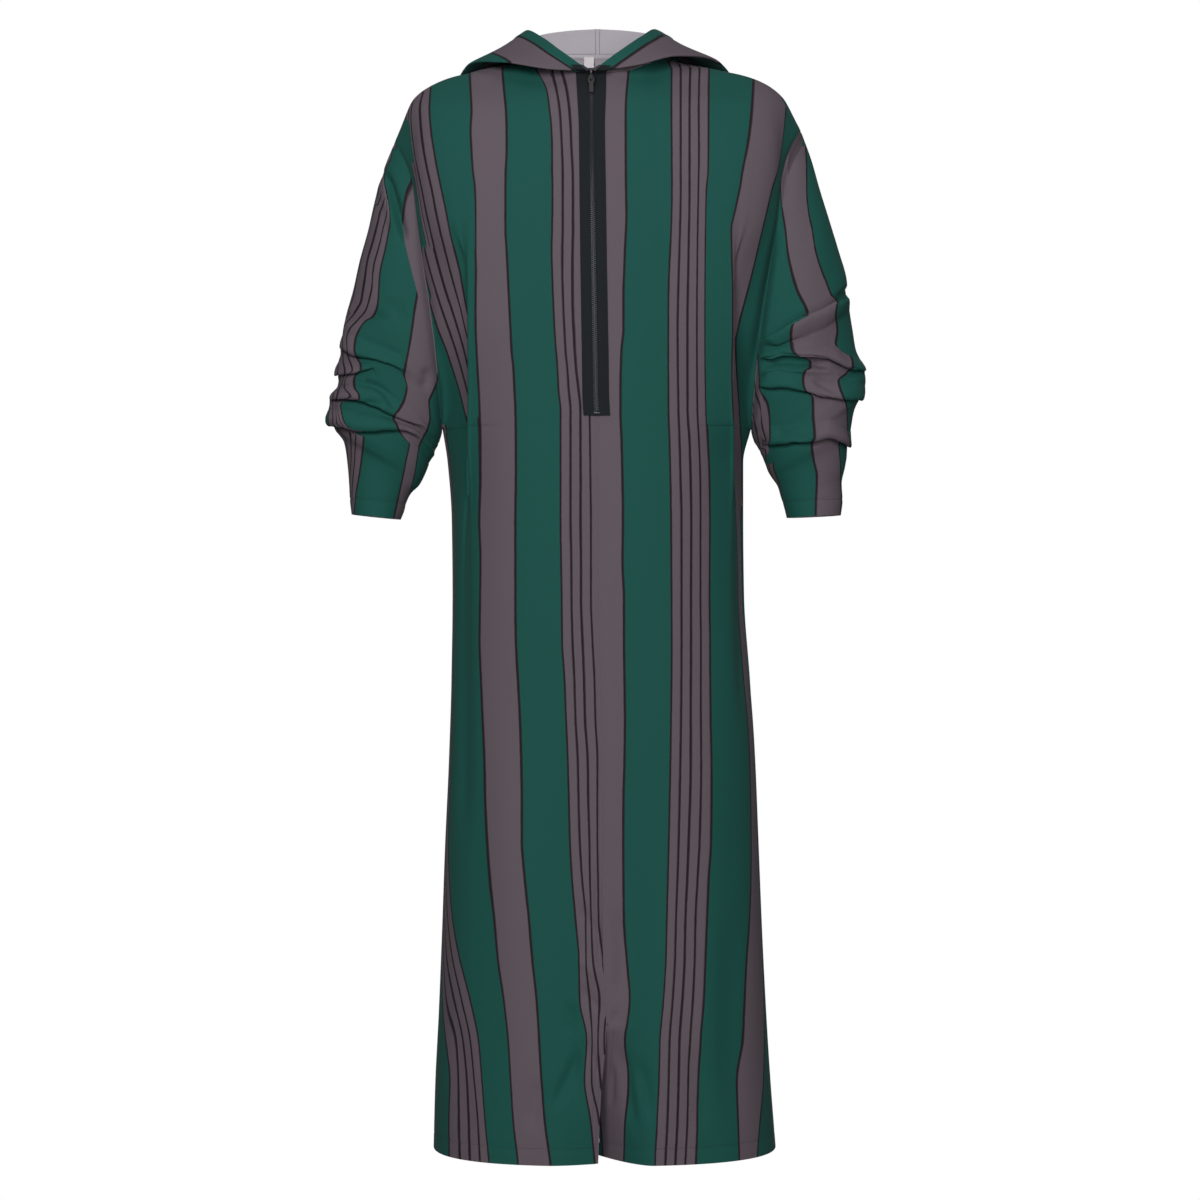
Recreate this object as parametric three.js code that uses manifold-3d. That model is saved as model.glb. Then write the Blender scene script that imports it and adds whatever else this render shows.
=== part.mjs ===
// Hooded striped kaftan with a half zip, standing hollow as it is worn.
// Millimetres, +Z up, front towards -Y, origin on the shoulders at the neck.
// Wearer's right is -X and wearer's left is +X.
import * as THREE from 'three';
import Module from 'manifold-3d';
import { mergeVertices } from 'three/addons/utils/BufferGeometryUtils.js';

// ---------------------------------------------------------------- driving sizes
const WALL = 1.2;              // thickness of the cloth as built
const SEAM = 0.2;              // each panel stops this far short of its seam line
const HEM_Z = -1297;           // level of the hem
const UNDERARM_Z = -441;       // bottom of the armholes
const RING = 20;               // facets round a sleeve
const LOWER_ROWS = 10;         // rows between underarm and hem
const ZIP_HALF = 15.5;         // half width of the zip on show
const CHAIN_HALF = 3.0;        // half width of the chain
const ZIP_BOTTOM_Z = -431.5;   // lower end of the zip tapes
const TAPE = 1.0;              // thickness of the tape
const CHAIN = 1.4;             // thickness of the chain
const LIFT = 0.3;              // clearance between layers
const TAPE_LIFT = 0.5;         // clearance of the zip tapes over the fronts
const SIDE_POWER = 2.6;        // roundness of the body section

const table = (names, rows) => rows.map((r) => Object.fromEntries(names.split(' ').map((n, k) => [n, r[k]])));

// Body sections below the arms: side edges, depth to front and back, centre front line.
const BODY = table('z right left front back cf', [
  [-441, -186, 184, 117, 116, 0],
  [-480, -180, 175, 118, 117, 0],
  [-550, -175, 175, 119, 118, 0],
  [-640, -174, 176, 121, 119, 0.5],
  [-740, -175, 183, 123, 121, 3.5],
  [-840, -178, 189, 126, 124, 5.8],
  [-940, -182.5, 193, 130, 128, 5.6],
  [-1040, -186, 197, 135, 132, 6],
  [-1140, -190, 202, 141, 136, 10],
  [-1220, -194, 207, 146, 139, 4],
  [-1297, -196, 213, 150, 142, 1],
]);
// Depth of the body above the underarm, at centre front and centre back.
const CHEST = table('z front back cf', [
  [20, 58, 58, -7.6],
  [-24, 60, 76, -7.6],
  [-60, 78, 90, -7],
  [-100, 92, 102, -6.5],
  [-150, 104, 112, -5.8],
  [-210, 111, 118, -5],
  [-280, 115, 119, -4],
  [-360, 117, 118, -2.6],
  [-407, 117, 117, -2],
  [-441, 117, 116, 0],
]);
// The pleat that runs down each front from shoulder to below the arm:
// how far out its edge lies, how far the cloth tucks in behind it, and how much of it there is.
const PLEAT = table('z edge tuck weight', [
  [0, 154, 0, 0],
  [-110, 154, 0, 0],
  [-170, 153, 3, 1],
  [-300, 152, 12, 1],
  [-400, 152, 18, 1],
  [-441, 153, 16, 1],
  [-500, 160, 6, 0.6],
  [-580, 168, 0, 0],
]);
const PLEAT_BACK = 16;         // step in depth behind the pleat's edge
// The slit at centre front folds inwards below this height.
const SLIT_TOP_Z = -1140;
const SLIT_IN = { right: 16, left: 70 };   // how far each edge falls back at the hem

// Neckline from the top of the zip to the nape, right half; the left half mirrors it.
const NECK = table('x y z', [
  [-7.6, -60, -24],
  [-34, -56, -20],
  [-60, -42, -9],
  [-84, 0, 3],
  [-66, 42, 12],
  [-36, 56, 16],
  [0, 60, 17],
]);
// Shoulder seam from the neck to the armhole, one list per side.
const SHOULDER = {
  right: table('x z', [[-104, -3], [-128, -7], [-154, -14], [-168, -18], [-190, -27], [-216, -44], [-244, -97]]),
  left: table('x z', [[104, -3], [128, -7], [152, -12], [168, -16], [190, -24], [218, -42], [244, -82]]),
};
// How the body section is divided from centre line to side seam.
const DIVISIONS = [0, 0.1, 0.27, 0.44, 0.6, 0.74, 0.86, 0.93, 0.975, 0.995, 1];
const EDGE_COL = 6;            // the pleat's edge

// Sleeve sections from armhole to cuff: outer and under points, depth to front and back, bow.
const SLEEVE = {
  right: table('xo zo xi zi front back bow', [
    [-244, -97, -186, -441, 54, 56, 12],
    [-257, -130, -187, -446, 58, 60, 8],
    [-267, -166, -188, -450, 60, 62, 4],
    [-275, -202, -189, -453, 60, 63, 0],
    [-285, -238, -190, -456, 59, 63, 0],
    [-293, -274, -192, -459, 57, 62, 0],
    [-305, -314, -193, -462, 50, 60, 0],
    [-307, -336, -194, -464, 58, 63, 0],
    [-306, -352, -195, -467, 50, 58, 0],
    [-317, -372, -197, -471, 60, 66, 0],
    [-312, -386, -199, -475, 51, 60, 0],
    [-325, -405, -202, -482, 62, 70, 0],
    [-328, -424, -205, -490, 64, 72, 0],
    [-322, -440, -209, -499, 58, 66, 0],
    [-304, -457, -214, -508, 39, 52, 0],
    [-300, -482, -224, -518, 37, 44, 0],
    [-298, -506, -229, -528, 36, 38, 0],
    [-297, -526, -232, -539, 35, 36, 0],
    [-295, -543, -236, -549, 35, 36, 0],
  ]),
  left: table('xo zo xi zi front back bow', [
    [244, -82, 184, -441, 54, 56, -12],
    [257, -118, 185, -446, 58, 60, -8],
    [267, -154, 186, -450, 60, 62, -4],
    [278, -190, 187, -453, 60, 63, 0],
    [289, -226, 188, -456, 59, 63, 0],
    [299, -262, 190, -459, 57, 62, 0],
    [301, -296, 192, -462, 49, 60, 0],
    [306, -322, 193, -464, 60, 64, 0],
    [311, -346, 195, -467, 58, 62, 0],
    [314, -357, 196, -470, 50, 60, 0],
    [326, -378, 198, -474, 61, 70, 0],
    [320, -398, 200, -479, 52, 66, 0],
    [309, -418, 202, -484, 62, 70, 0],
    [305, -440, 205, -492, 60, 68, 0],
    [302, -462, 210, -500, 42, 60, 0],
    [298, -486, 216, -509, 38, 46, 0],
    [293, -506, 220, -522, 36, 38, 0],
    [294, -526, 224, -535, 35, 36, 0],
    [292, -544, 227, -547, 35, 36, 0],
  ]),
};

// Hood lying back, from zip top to centre back. Each row follows one line of the hood:
// s top of the stand, b lowest fold, e free edge, open how far the two layers stand apart.
const HOOD = {
  right: table('sx sy sz bx by bz ex ey ez open', [
    [-10, -62, -19, -16, -68, -21, -19, -66, -15, 1.5],
    [-40, -58, -13, -58, -70, -20, -45, -54, 4, 5],
    [-66, -40, 1, -112, -46, -8, -64, -30, 22, 8],
    [-92, 6, 16, -152, 4, -5, -84, 6, 38, 11],
    [-74, 52, 38, -160, 78, -42, -94, 76, 36, 14],
    [-40, 66, 44, -98, 142, -140, -58, 116, 18, 16],
    [0, 70, 45, 0, 162, -222, 0, 124, 8, 18],
  ]),
  left: table('sx sy sz bx by bz ex ey ez open', [
    [-5, -62, -19, 2, -68, -21, 4, -66, -14, 1.5],
    [38, -58, -12, 48, -68, -15, 30, -54, 5, 5],
    [64, -40, 3, 92, -46, -1, 52, -30, 24, 8],
    [90, 6, 16, 142, 4, -1, 69, 6, 39, 11],
    [74, 52, 38, 158, 78, -40, 86, 76, 37, 14],
    [40, 66, 44, 98, 142, -140, 56, 116, 18, 16],
    [0, 70, 45, 0, 162, -222, 0, 124, 8, 18],
  ]),
};
const HOOD_ROUNDS = 2;         // steps between two lines of the hood table

const COLOURS = { green: 0x225f58, mauve: 0x6b6068, black: 0x202429, metal: 0x2b2d30, pale: 0xd8d4d8 };

// ---------------------------------------------------------------- helpers
const lerp = (a, b, t) => a + (b - a) * t;
const v3 = (x, y, z) => new THREE.Vector3(x, y, z);
function look(rows, z, name) {            // rows fall in z
  if (z >= rows[0].z) return rows[0][name];
  for (let k = 1; k < rows.length; k += 1) {
    if (z >= rows[k].z) return lerp(rows[k - 1][name], rows[k][name], (z - rows[k - 1].z) / (rows[k].z - rows[k - 1].z));
  }
  return rows[rows.length - 1][name];
}
const depthOf = (X) => Math.max(0, 1 - Math.abs(X) ** SIDE_POWER) ** (1 / SIDE_POWER);

// One point of a sleeve ring: angle 0 is the outer point, 180 degrees the under point.
function ringPoint(s, angle) {
  const c = Math.cos(angle);
  const n = Math.sin(angle);
  const x = lerp(s.xi, s.xo, (1 + c) / 2) + s.bow * n * n;
  const z = lerp(s.zi, s.zo, (1 + c) / 2);
  return v3(x, n >= 0 ? -s.front * n : -s.back * n, z);
}

// The body section above the underarm, before any pleat: across, then depth.
function plain(face, z, X, edge) {
  const F = look(CHEST, z, face < 0 ? 'front' : 'back');
  const cf = face < 0 ? look(CHEST, z, 'cf') : 0;
  const E = Math.abs(edge.y);
  return [lerp(cf, edge.x, X), E + (F - E) * depthOf(X)];
}

// Body grid of one quarter: side 'right' or 'left', face -1 front or +1 back.
function quarter(side, face) {
  const sign = side === 'right' ? -1 : 1;
  const ring = SLEEVE[side][0];
  const half = RING / 2;
  const top = [];
  const neck = face < 0 ? [0, 1, 2, 3] : [6, 5, 4, 3];
  neck.forEach((k) => {
    const p = NECK[k];
    const x = k === 0 ? p.x : sign * Math.abs(p.x);
    top.push(v3(x, p.y, p.z));
  });
  SHOULDER[side].forEach((p) => top.push(v3(p.x, 0, p.z)));
  const edge = [];
  for (let k = 0; k <= half; k += 1) edge.push(ringPoint(ring, (face < 0 ? 1 : -1) * Math.PI * k / half));
  const rows = [];
  for (let i = 0; i <= half; i += 1) {
    const tau = (edge[i].z - edge[0].z) / (edge[half].z - edge[0].z);
    const row = [];
    DIVISIONS.forEach((X, j) => {
      const z = lerp(top[j].z, UNDERARM_Z, tau);
      if (i === 0) { row.push(top[j].clone()); return; }
      if (j === DIVISIONS.length - 1) { row.push(edge[i].clone()); return; }
      const drop = Math.min(1, (top[j].z - z) / 100);
      const s = Math.sqrt(drop * (2 - drop));
      const [x0, y0] = plain(face, top[j].z, X, edge[0]);
      const F = look(CHEST, z, face < 0 ? 'front' : 'back');
      let [x, y] = plain(face, z, X, edge[i]);
      if (face < 0) [x, y] = pleated(sign, z, j, x, y, F, edge[i].x, Math.abs(edge[i].y));
      row.push(v3(x + (top[j].x - x0) * (1 - s), face * y + (top[j].y - face * y0) * (1 - s), z));
    });
    rows.push(row);
  }
  for (let i = 1; i <= LOWER_ROWS; i += 1) {
    const b = BODY[i];
    const a = b[side];
    const F = face < 0 ? b.front : b.back;
    const cf = face < 0 ? b.cf : 0;
    rows.push(DIVISIONS.map((X, j) => {
      let x = lerp(cf, a, X);
      let y = F * depthOf(X);
      if (face < 0) {
        [x, y] = pleated(sign, b.z, j, x, y, F, a, 0);
        if (b.z < SLIT_TOP_Z && X < 0.3) {
          const down = (SLIT_TOP_Z - b.z) / (SLIT_TOP_Z - HEM_Z);
          y -= SLIT_IN[side] * down * (1 - X / 0.3) ** 1.5;
        }
      }
      return v3(x, face * y, b.z);
    }));
  }
  return rows;
}

// Moves the columns round a pleat's edge: out to the edge, back behind it, on to the side.
function pleated(sign, z, j, x, y, F, side, E) {
  const w = look(PLEAT, z, 'weight');
  if (w === 0) return [x, y];
  const edge = sign * look(PLEAT, z, 'edge');
  const tuck = look(PLEAT, z, 'tuck');
  const cf = look(z > UNDERARM_Z ? CHEST : BODY, z, 'cf');
  let px = x;
  let py = y;
  if (j <= EDGE_COL) {
    const X = DIVISIONS[j] / DIVISIONS[EDGE_COL];
    px = lerp(cf, edge, X);
    py = F * lerp(1, 0.86, X ** 3);
  } else {
    const k = (j - EDGE_COL - 1) / (DIVISIONS.length - 2 - EDGE_COL);
    const inner = edge - sign * tuck;
    px = lerp(inner, side, k);
    py = lerp(F * 0.86 - PLEAT_BACK, E, k ** 1.2);
  }
  return [lerp(x, px, w), lerp(y, py, w)];
}

function sleeveGrid(side) {
  return SLEEVE[side].map((s) => {
    const row = [];
    for (let k = 0; k < RING; k += 1) row.push(ringPoint(s, 2 * Math.PI * k / RING));
    return row;
  });
}

// Hood grid: rows run from the front to centre back, columns from the neck seam to the free edge.
function hoodGrid(side) {
  const sign = side === 'right' ? -1 : 1;
  const lines = HOOD[side].map((h, k) => {
    const n = NECK[k];
    const N = v3(k === 0 ? n.x : sign * Math.abs(n.x), n.y, n.z);
    const S = v3(h.sx, h.sy, h.sz);
    const B = v3(h.bx, h.by, h.bz);
    const E = v3(h.ex, h.ey, h.ez);
    const out = v3(B.x - S.x, B.y - S.y, 0);
    if (out.length() > 0) out.normalize();
    const lift = v3(0, 0, h.open * 0.5);
    const inner = S.clone().lerp(B, 0.5).add(v3(0, 0, -h.open * 0.15)).addScaledVector(out, -h.open * 0.2);
    const outer = B.clone().lerp(E, 0.5).addScaledVector(out, h.open * 0.8).add(lift);
    const roll = S.clone().addScaledVector(out, h.open * 0.45).add(v3(0, 0, -h.open * 0.15));
    const foot = B.clone().addScaledVector(out, h.open * 0.5).add(v3(0, 0, h.open * 0.5));
    return [N, N.clone().lerp(S, 0.55), S, roll, inner, B, foot, outer, E];
  });
  const rows = [];
  for (let k = 0; k < lines.length - 1; k += 1) {
    for (let m = 0; m < HOOD_ROUNDS; m += 1) {
      const t = m / HOOD_ROUNDS;
      rows.push(lines[k].map((p, c) => {
        if (c === 0) return p.clone().lerp(lines[k + 1][0], t);
        const a = lines[Math.max(0, k - 1)][c];
        const d = lines[Math.min(lines.length - 1, k + 2)][c];
        const spline = new THREE.CatmullRomCurve3([a, p, lines[k + 1][c], d]);
        return t === 0 ? p.clone() : spline.getPoint((1 + t) / 3);
      }));
    }
  }
  rows.push(lines[lines.length - 1].map((p) => p.clone()));
  return rows;
}

// ---------------------------------------------------------------- shells
// Normals are shared by every piece of cloth that meets at a point.
const key = (p) => `${Math.round(p.x * 20)},${Math.round(p.y * 20)},${Math.round(p.z * 20)}`;
function cells(grid) {
  const out = [];
  const cols = grid.points[0].length;
  for (let i = 0; i < grid.points.length - 1; i += 1) {
    for (let j = 0; j < (grid.closed ? cols : cols - 1); j += 1) out.push([i, j, i + 1, (j + 1) % cols]);
  }
  return out;
}
function shareNormals(grids) {
  const sums = new Map();
  const add = (p, n) => {
    const k = key(p);
    if (!sums.has(k)) sums.set(k, v3(0, 0, 0));
    sums.get(k).add(n);
  };
  grids.forEach((g) => cells(g).forEach(([i, j, i2, j2]) => {
    const a = g.points[i][j];
    const b = g.points[i2][j];
    const c = g.points[i2][j2];
    const d = g.points[i][j2];
    const n = c.clone().sub(a).cross(d.clone().sub(b)).multiplyScalar(g.flip ? -1 : 1);
    if (n.length() < 1e-9) return;
    n.normalize();
    [a, b, c, d].forEach((p) => add(p, n));
  }));
  grids.forEach((g) => {
    g.normals = g.points.map((row) => row.map((p) => sums.get(key(p)).clone().normalize()));
  });
}

// Pulls the marked borders back from the seam line, then makes a closed wall.
function shell(grid, thickness = WALL) {
  const P = grid.points.map((r) => r.map((p) => p.clone()));
  const rows = P.length;
  const cols = P[0].length;
  const pull = (p, q, by) => {
    const d = q.clone().sub(p);
    if (d.length() > 1e-6) p.addScaledVector(d.normalize(), by);
  };
  const src = grid.points;
  const gap = grid.gap || {};
  for (let j = 0; j < cols; j += 1) {
    if (gap.first) pull(P[0][j], src[1][j], gap.first);
    if (gap.side) P[0][j].x += gap.side;
    if (gap.last) pull(P[rows - 1][j], src[rows - 2][j], gap.last);
  }
  if (!grid.closed) {
    for (let i = 0; i < rows; i += 1) {
      if (gap.low) pull(P[i][0], src[i][1], gap.low);
      if (gap.high) pull(P[i][cols - 1], src[i][cols - 2], gap.high);
    }
  }
  const pos = [];
  const idx = [];
  const outer = (i, j) => i * cols + j;
  const inner = (i, j) => rows * cols + i * cols + j;
  P.forEach((r) => r.forEach((p) => pos.push(p.x, p.y, p.z)));
  P.forEach((r, i) => r.forEach((p, j) => {
    const q = p.clone().addScaledVector(grid.normals[i][j], -thickness);
    pos.push(q.x, q.y, q.z);
  }));
  const quad = (a, b, c, d) => (grid.flip ? idx.push(a, c, b, a, d, c) : idx.push(a, b, c, a, c, d));
  cells(grid).forEach(([i, j, i2, j2]) => {
    quad(outer(i, j), outer(i2, j), outer(i2, j2), outer(i, j2));
    quad(inner(i, j), inner(i, j2), inner(i2, j2), inner(i2, j));
  });
  const last = grid.closed ? cols : cols - 1;
  for (let j = 0; j < last; j += 1) {
    const k = (j + 1) % cols;
    quad(outer(0, j), outer(0, k), inner(0, k), inner(0, j));
    quad(outer(rows - 1, k), outer(rows - 1, j), inner(rows - 1, j), inner(rows - 1, k));
  }
  if (!grid.closed) {
    for (let i = 0; i < rows - 1; i += 1) {
      quad(outer(i + 1, 0), outer(i, 0), inner(i, 0), inner(i + 1, 0));
      quad(outer(i, cols - 1), outer(i + 1, cols - 1), inner(i + 1, cols - 1), inner(i, cols - 1));
    }
  }
  const g = new THREE.BufferGeometry();
  g.setAttribute('position', new THREE.Float32BufferAttribute(pos, 3));
  g.setIndex(idx);
  g.computeVertexNormals();
  return g;
}

const kaftan = new THREE.Group();
function addMesh(parent, name, geometry, colour, roughness = 0.85, metalness = 0) {
  const mesh = new THREE.Mesh(geometry, new THREE.MeshStandardMaterial({ color: colour, roughness, metalness }));
  mesh.name = name;
  parent.add(mesh);
  return mesh;
}

// ---------------------------------------------------------------- cloth
const frontRight = { points: quarter('right', -1), flip: true };
const frontLeft = { points: quarter('left', -1) };
const backRight = quarter('right', 1);
const backLeft = quarter('left', 1);
const back = { points: backRight.map((r, i) => [...r.slice().reverse(), ...backLeft[i].slice(1)]), flip: true };
const sleeveRight = { points: sleeveGrid('right'), closed: true };
const sleeveLeft = { points: sleeveGrid('left'), closed: true, flip: true };
const hoodRight = { points: hoodGrid('right') };
const hoodLeft = { points: hoodGrid('left'), flip: true };

shareNormals([frontRight, frontLeft, back, sleeveRight, sleeveLeft]);
shareNormals([hoodRight, hoodLeft]);

frontRight.gap = { first: SEAM, low: SEAM, high: SEAM };
frontLeft.gap = { first: SEAM, low: SEAM, high: SEAM };
back.gap = { first: SEAM, low: SEAM, high: SEAM };
sleeveRight.gap = { first: SEAM, side: -2 * SEAM };
sleeveLeft.gap = { first: SEAM, side: 2 * SEAM };
hoodRight.gap = { low: SEAM * 5, last: SEAM, first: SEAM };
hoodLeft.gap = { low: SEAM * 5, last: SEAM, first: SEAM };

addMesh(kaftan, 'front_right', shell(frontRight), COLOURS.green);
addMesh(kaftan, 'front_left', shell(frontLeft), COLOURS.green);
addMesh(kaftan, 'back', shell(back), COLOURS.green);
addMesh(kaftan, 'sleeve_right', shell(sleeveRight), COLOURS.green);
addMesh(kaftan, 'sleeve_left', shell(sleeveLeft), COLOURS.green);
addMesh(kaftan, 'hood_right', shell(hoodRight), COLOURS.mauve);
addMesh(kaftan, 'hood_left', shell(hoodLeft), COLOURS.mauve);


// ---------------------------------------------------------------- zip
// Rows of the zip follow the rows of the two fronts; t counts rows from the neck.
const zipRows = [0.4];
{
  const rows = frontRight.points;
  let i = 1;
  for (; rows[i][0].z > ZIP_BOTTOM_Z + 4; i++) zipRows.push(i);
  const a = rows[i - 1][0].z;
  zipRows.push(i - 1 + (a - ZIP_BOTTOM_Z) / (a - rows[i][0].z));
}
function onFront(t, across, out) {
  const g = across < 0 ? frontRight : frontLeft;
  const i = Math.min(Math.floor(t), g.points.length - 2);
  const f = t - i;
  const p = g.points[i][0].clone().lerp(g.points[i + 1][0], f);
  const q = g.points[i][1].clone().lerp(g.points[i + 1][1], f);
  const n = g.normals[i][0].clone().lerp(g.normals[i + 1][0], f).normalize();
  const along = q.sub(p).normalize();
  return p.addScaledVector(along, Math.abs(across)).addScaledVector(n, out);
}
function strip(acrosses, out, flip) {
  const points = zipRows.map((t) => acrosses.map((x) => onFront(t, x, out)));
  const normals = zipRows.map((t) => acrosses.map((x) => onFront(t, x, 1).sub(onFront(t, x, 0)).normalize()));
  return { points, normals, flip };
}
addMesh(kaftan, 'zip_tape_right', shell(strip([-SEAM, -ZIP_HALF], TAPE_LIFT + TAPE, true), TAPE), COLOURS.black);
addMesh(kaftan, 'zip_tape_left', shell(strip([SEAM, ZIP_HALF], TAPE_LIFT + TAPE, false), TAPE), COLOURS.black);
const chainOut = TAPE_LIFT + TAPE + LIFT + CHAIN;
addMesh(kaftan, 'zip_chain', shell(strip([-CHAIN_HALF, 0, CHAIN_HALF], chainOut, false), CHAIN), COLOURS.metal, 0.4, 0.3);

const wasm = await Module();
wasm.setup();
function solid(geometry) {
  const g = geometry.clone();
  g.deleteAttribute('normal');
  g.deleteAttribute('uv');
  const m = mergeVertices(g, 1e-4);
  return new wasm.Manifold(new wasm.Mesh({
    numProp: 3,
    vertProperties: new Float32Array(m.attributes.position.array),
    triVerts: new Uint32Array(m.index.array),
  }));
}
function fromSolid(m) {
  const mesh = m.getMesh();
  const g = new THREE.BufferGeometry();
  g.setAttribute('position', new THREE.Float32BufferAttribute(mesh.vertProperties, 3));
  g.setIndex(Array.from(mesh.triVerts));
  g.computeVertexNormals();
  return g;
}
function outline(points) {
  const s = new THREE.Shape();
  points.forEach(([x, y], k) => (k ? s.lineTo(x, y) : s.moveTo(x, y)));
  s.closePath();
  return s;
}
function prism(shape, depth) {
  return new THREE.ExtrudeGeometry(shape, { depth, bevelEnabled: false, steps: 1 });
}

// Slider, in its own frame: x across, y up the zip, z out of the cloth.
const SLIDER = { wide: 9.4, narrow: 7.2, length: 12, thick: 2.2, bridge: 2.4, leg: 3.6, open: 2.3, top: 6.0, roof: 1.0 };
const BAR_Z = 3.9;             // height of the pull's bar above the chain
const body = prism(outline([
  [-SLIDER.narrow / 2, -6], [SLIDER.narrow / 2, -6], [SLIDER.wide / 2, 1], [SLIDER.wide / 2, 4.6],
  [2.6, 6], [-2.6, 6], [-SLIDER.wide / 2, 4.6], [-SLIDER.wide / 2, 1],
]), SLIDER.thick);
body.translate(0, 0, LIFT);
const arch = outline([
  [-SLIDER.leg, 2], [SLIDER.leg, 2], [SLIDER.leg, 5], [SLIDER.leg - 1.1, SLIDER.top], [1.1 - SLIDER.leg, SLIDER.top], [-SLIDER.leg, 5],
]);
const hole = new THREE.Path();
[[-SLIDER.open, 2.7], [-SLIDER.open, 4.6], [-1.7, 5.0], [1.7, 5.0], [SLIDER.open, 4.6], [SLIDER.open, 2.7]]
  .forEach(([x, y], k) => (k ? hole.lineTo(x, y) : hole.moveTo(x, y)));
hole.closePath();
arch.holes.push(hole);
const bridge = prism(arch, SLIDER.bridge);
bridge.translate(0, 0, -SLIDER.bridge / 2);
// The arch is drawn in y and z, so turn its plane up onto the slider.
bridge.applyMatrix4(new THREE.Matrix4().makeBasis(v3(0, 1, 0), v3(0, 0, 1), v3(1, 0, 0)));
const sliderGeometry = fromSolid(solid(body).add(solid(bridge)));

const PULL = { top: 0.6, slot: 4.8, length: 21, half: 3.1, end: 2.5, slotHalf: 1.7, thick: 1.0 };
const pullShape = outline([
  [-PULL.half, -5.6], [-PULL.end, -7], [-PULL.end, -PULL.length + 1.2], [-1.3, -PULL.length], [1.3, -PULL.length],
  [PULL.end, -PULL.length + 1.2], [PULL.end, -7], [PULL.half, -5.6], [PULL.half, PULL.top], [-PULL.half, PULL.top],
]);
const slot = new THREE.Path();
[[-PULL.slotHalf, -PULL.top], [-PULL.slotHalf, -PULL.slot], [PULL.slotHalf, -PULL.slot], [PULL.slotHalf, -PULL.top]]
  .forEach(([x, y], k) => (k ? slot.lineTo(x, y) : slot.moveTo(x, y)));
slot.closePath();
pullShape.holes.push(slot);
const pull = prism(pullShape, PULL.thick);
pull.translate(0, 0, -PULL.thick / 2);

const zipHead = new THREE.Group();
{
  const at = onFront(1, 0, chainOut);
  const down = onFront(2, 0, chainOut).sub(onFront(0.4, 0, chainOut)).normalize();
  const up = down.clone().negate();
  const out = v3(1, 0, 0).cross(up).normalize();
  const side = up.clone().cross(out).normalize();
  const m = new THREE.Matrix4().makeBasis(side, up, out);
  zipHead.quaternion.setFromRotationMatrix(m);
  zipHead.position.copy(at);
}
kaftan.add(zipHead);
addMesh(zipHead, 'zip_slider', sliderGeometry, COLOURS.metal, 0.4, 0.6);
const pullMesh = addMesh(zipHead, 'zip_pull', pull, COLOURS.metal, 0.4, 0.6);
pullMesh.position.set(0, 0, BAR_Z);

// ---------------------------------------------------------------- neck label
const LABEL = { x: -10.4, width: 12, top: 16, height: 13.5, y: 55.2, thick: 1.0, lean: 1.2 };
const label = prism(outline([
  [0, 0], [LABEL.thick, 0], [LABEL.thick - LABEL.lean, -LABEL.height], [-LABEL.lean, -LABEL.height],
]), LABEL.width);
label.applyMatrix4(new THREE.Matrix4().makeBasis(v3(0, 1, 0), v3(0, 0, 1), v3(1, 0, 0)));
addMesh(kaftan, 'neck_label', label, COLOURS.pale).position.set(LABEL.x - LABEL.width / 2, LABEL.y, LABEL.top);

export default kaftan;
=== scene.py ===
import math

import bpy
import numpy as np
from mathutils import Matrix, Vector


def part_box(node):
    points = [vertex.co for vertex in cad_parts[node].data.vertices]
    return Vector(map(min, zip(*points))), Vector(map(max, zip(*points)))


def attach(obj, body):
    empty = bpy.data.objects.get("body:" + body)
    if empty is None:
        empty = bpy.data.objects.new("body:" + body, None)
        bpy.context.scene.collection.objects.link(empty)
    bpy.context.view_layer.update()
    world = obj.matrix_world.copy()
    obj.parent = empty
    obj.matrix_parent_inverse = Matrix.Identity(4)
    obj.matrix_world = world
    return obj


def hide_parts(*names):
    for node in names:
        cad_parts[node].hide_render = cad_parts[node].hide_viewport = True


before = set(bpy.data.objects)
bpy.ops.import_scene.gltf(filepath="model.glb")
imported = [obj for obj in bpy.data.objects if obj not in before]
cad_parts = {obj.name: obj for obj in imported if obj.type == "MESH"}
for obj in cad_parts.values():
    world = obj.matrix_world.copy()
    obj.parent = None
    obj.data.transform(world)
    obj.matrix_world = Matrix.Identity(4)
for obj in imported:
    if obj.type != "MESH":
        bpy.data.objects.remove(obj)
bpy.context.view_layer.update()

# Lengths are millimetres up to the point where a mesh is made.
MM = 0.001
rng = np.random.default_rng(5717)

# ------------------------------------------------------------------ the view
# The camera stands level, 3.6 m in front. A picture position (x, y) is in pixels of a 1200 square.
CAM_X, CAM_Y, CAM_Z, PX = 3.0, -3600.0, -645.6, 1.2


def seen(p):
    """Picture position of points in mm."""
    k = -CAM_Y / (p[..., 1] - CAM_Y)
    return (600 + (p[..., 0] - CAM_X) * k / PX, 600 - (p[..., 2] - CAM_Z) * k / PX)


# ------------------------------------------------------------------ curves
def lerp(a, b, t):
    return a + (b - a) * t


def ease(t):
    t = np.clip(t, 0, 1)
    return t * t * (3 - 2 * t)


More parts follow.
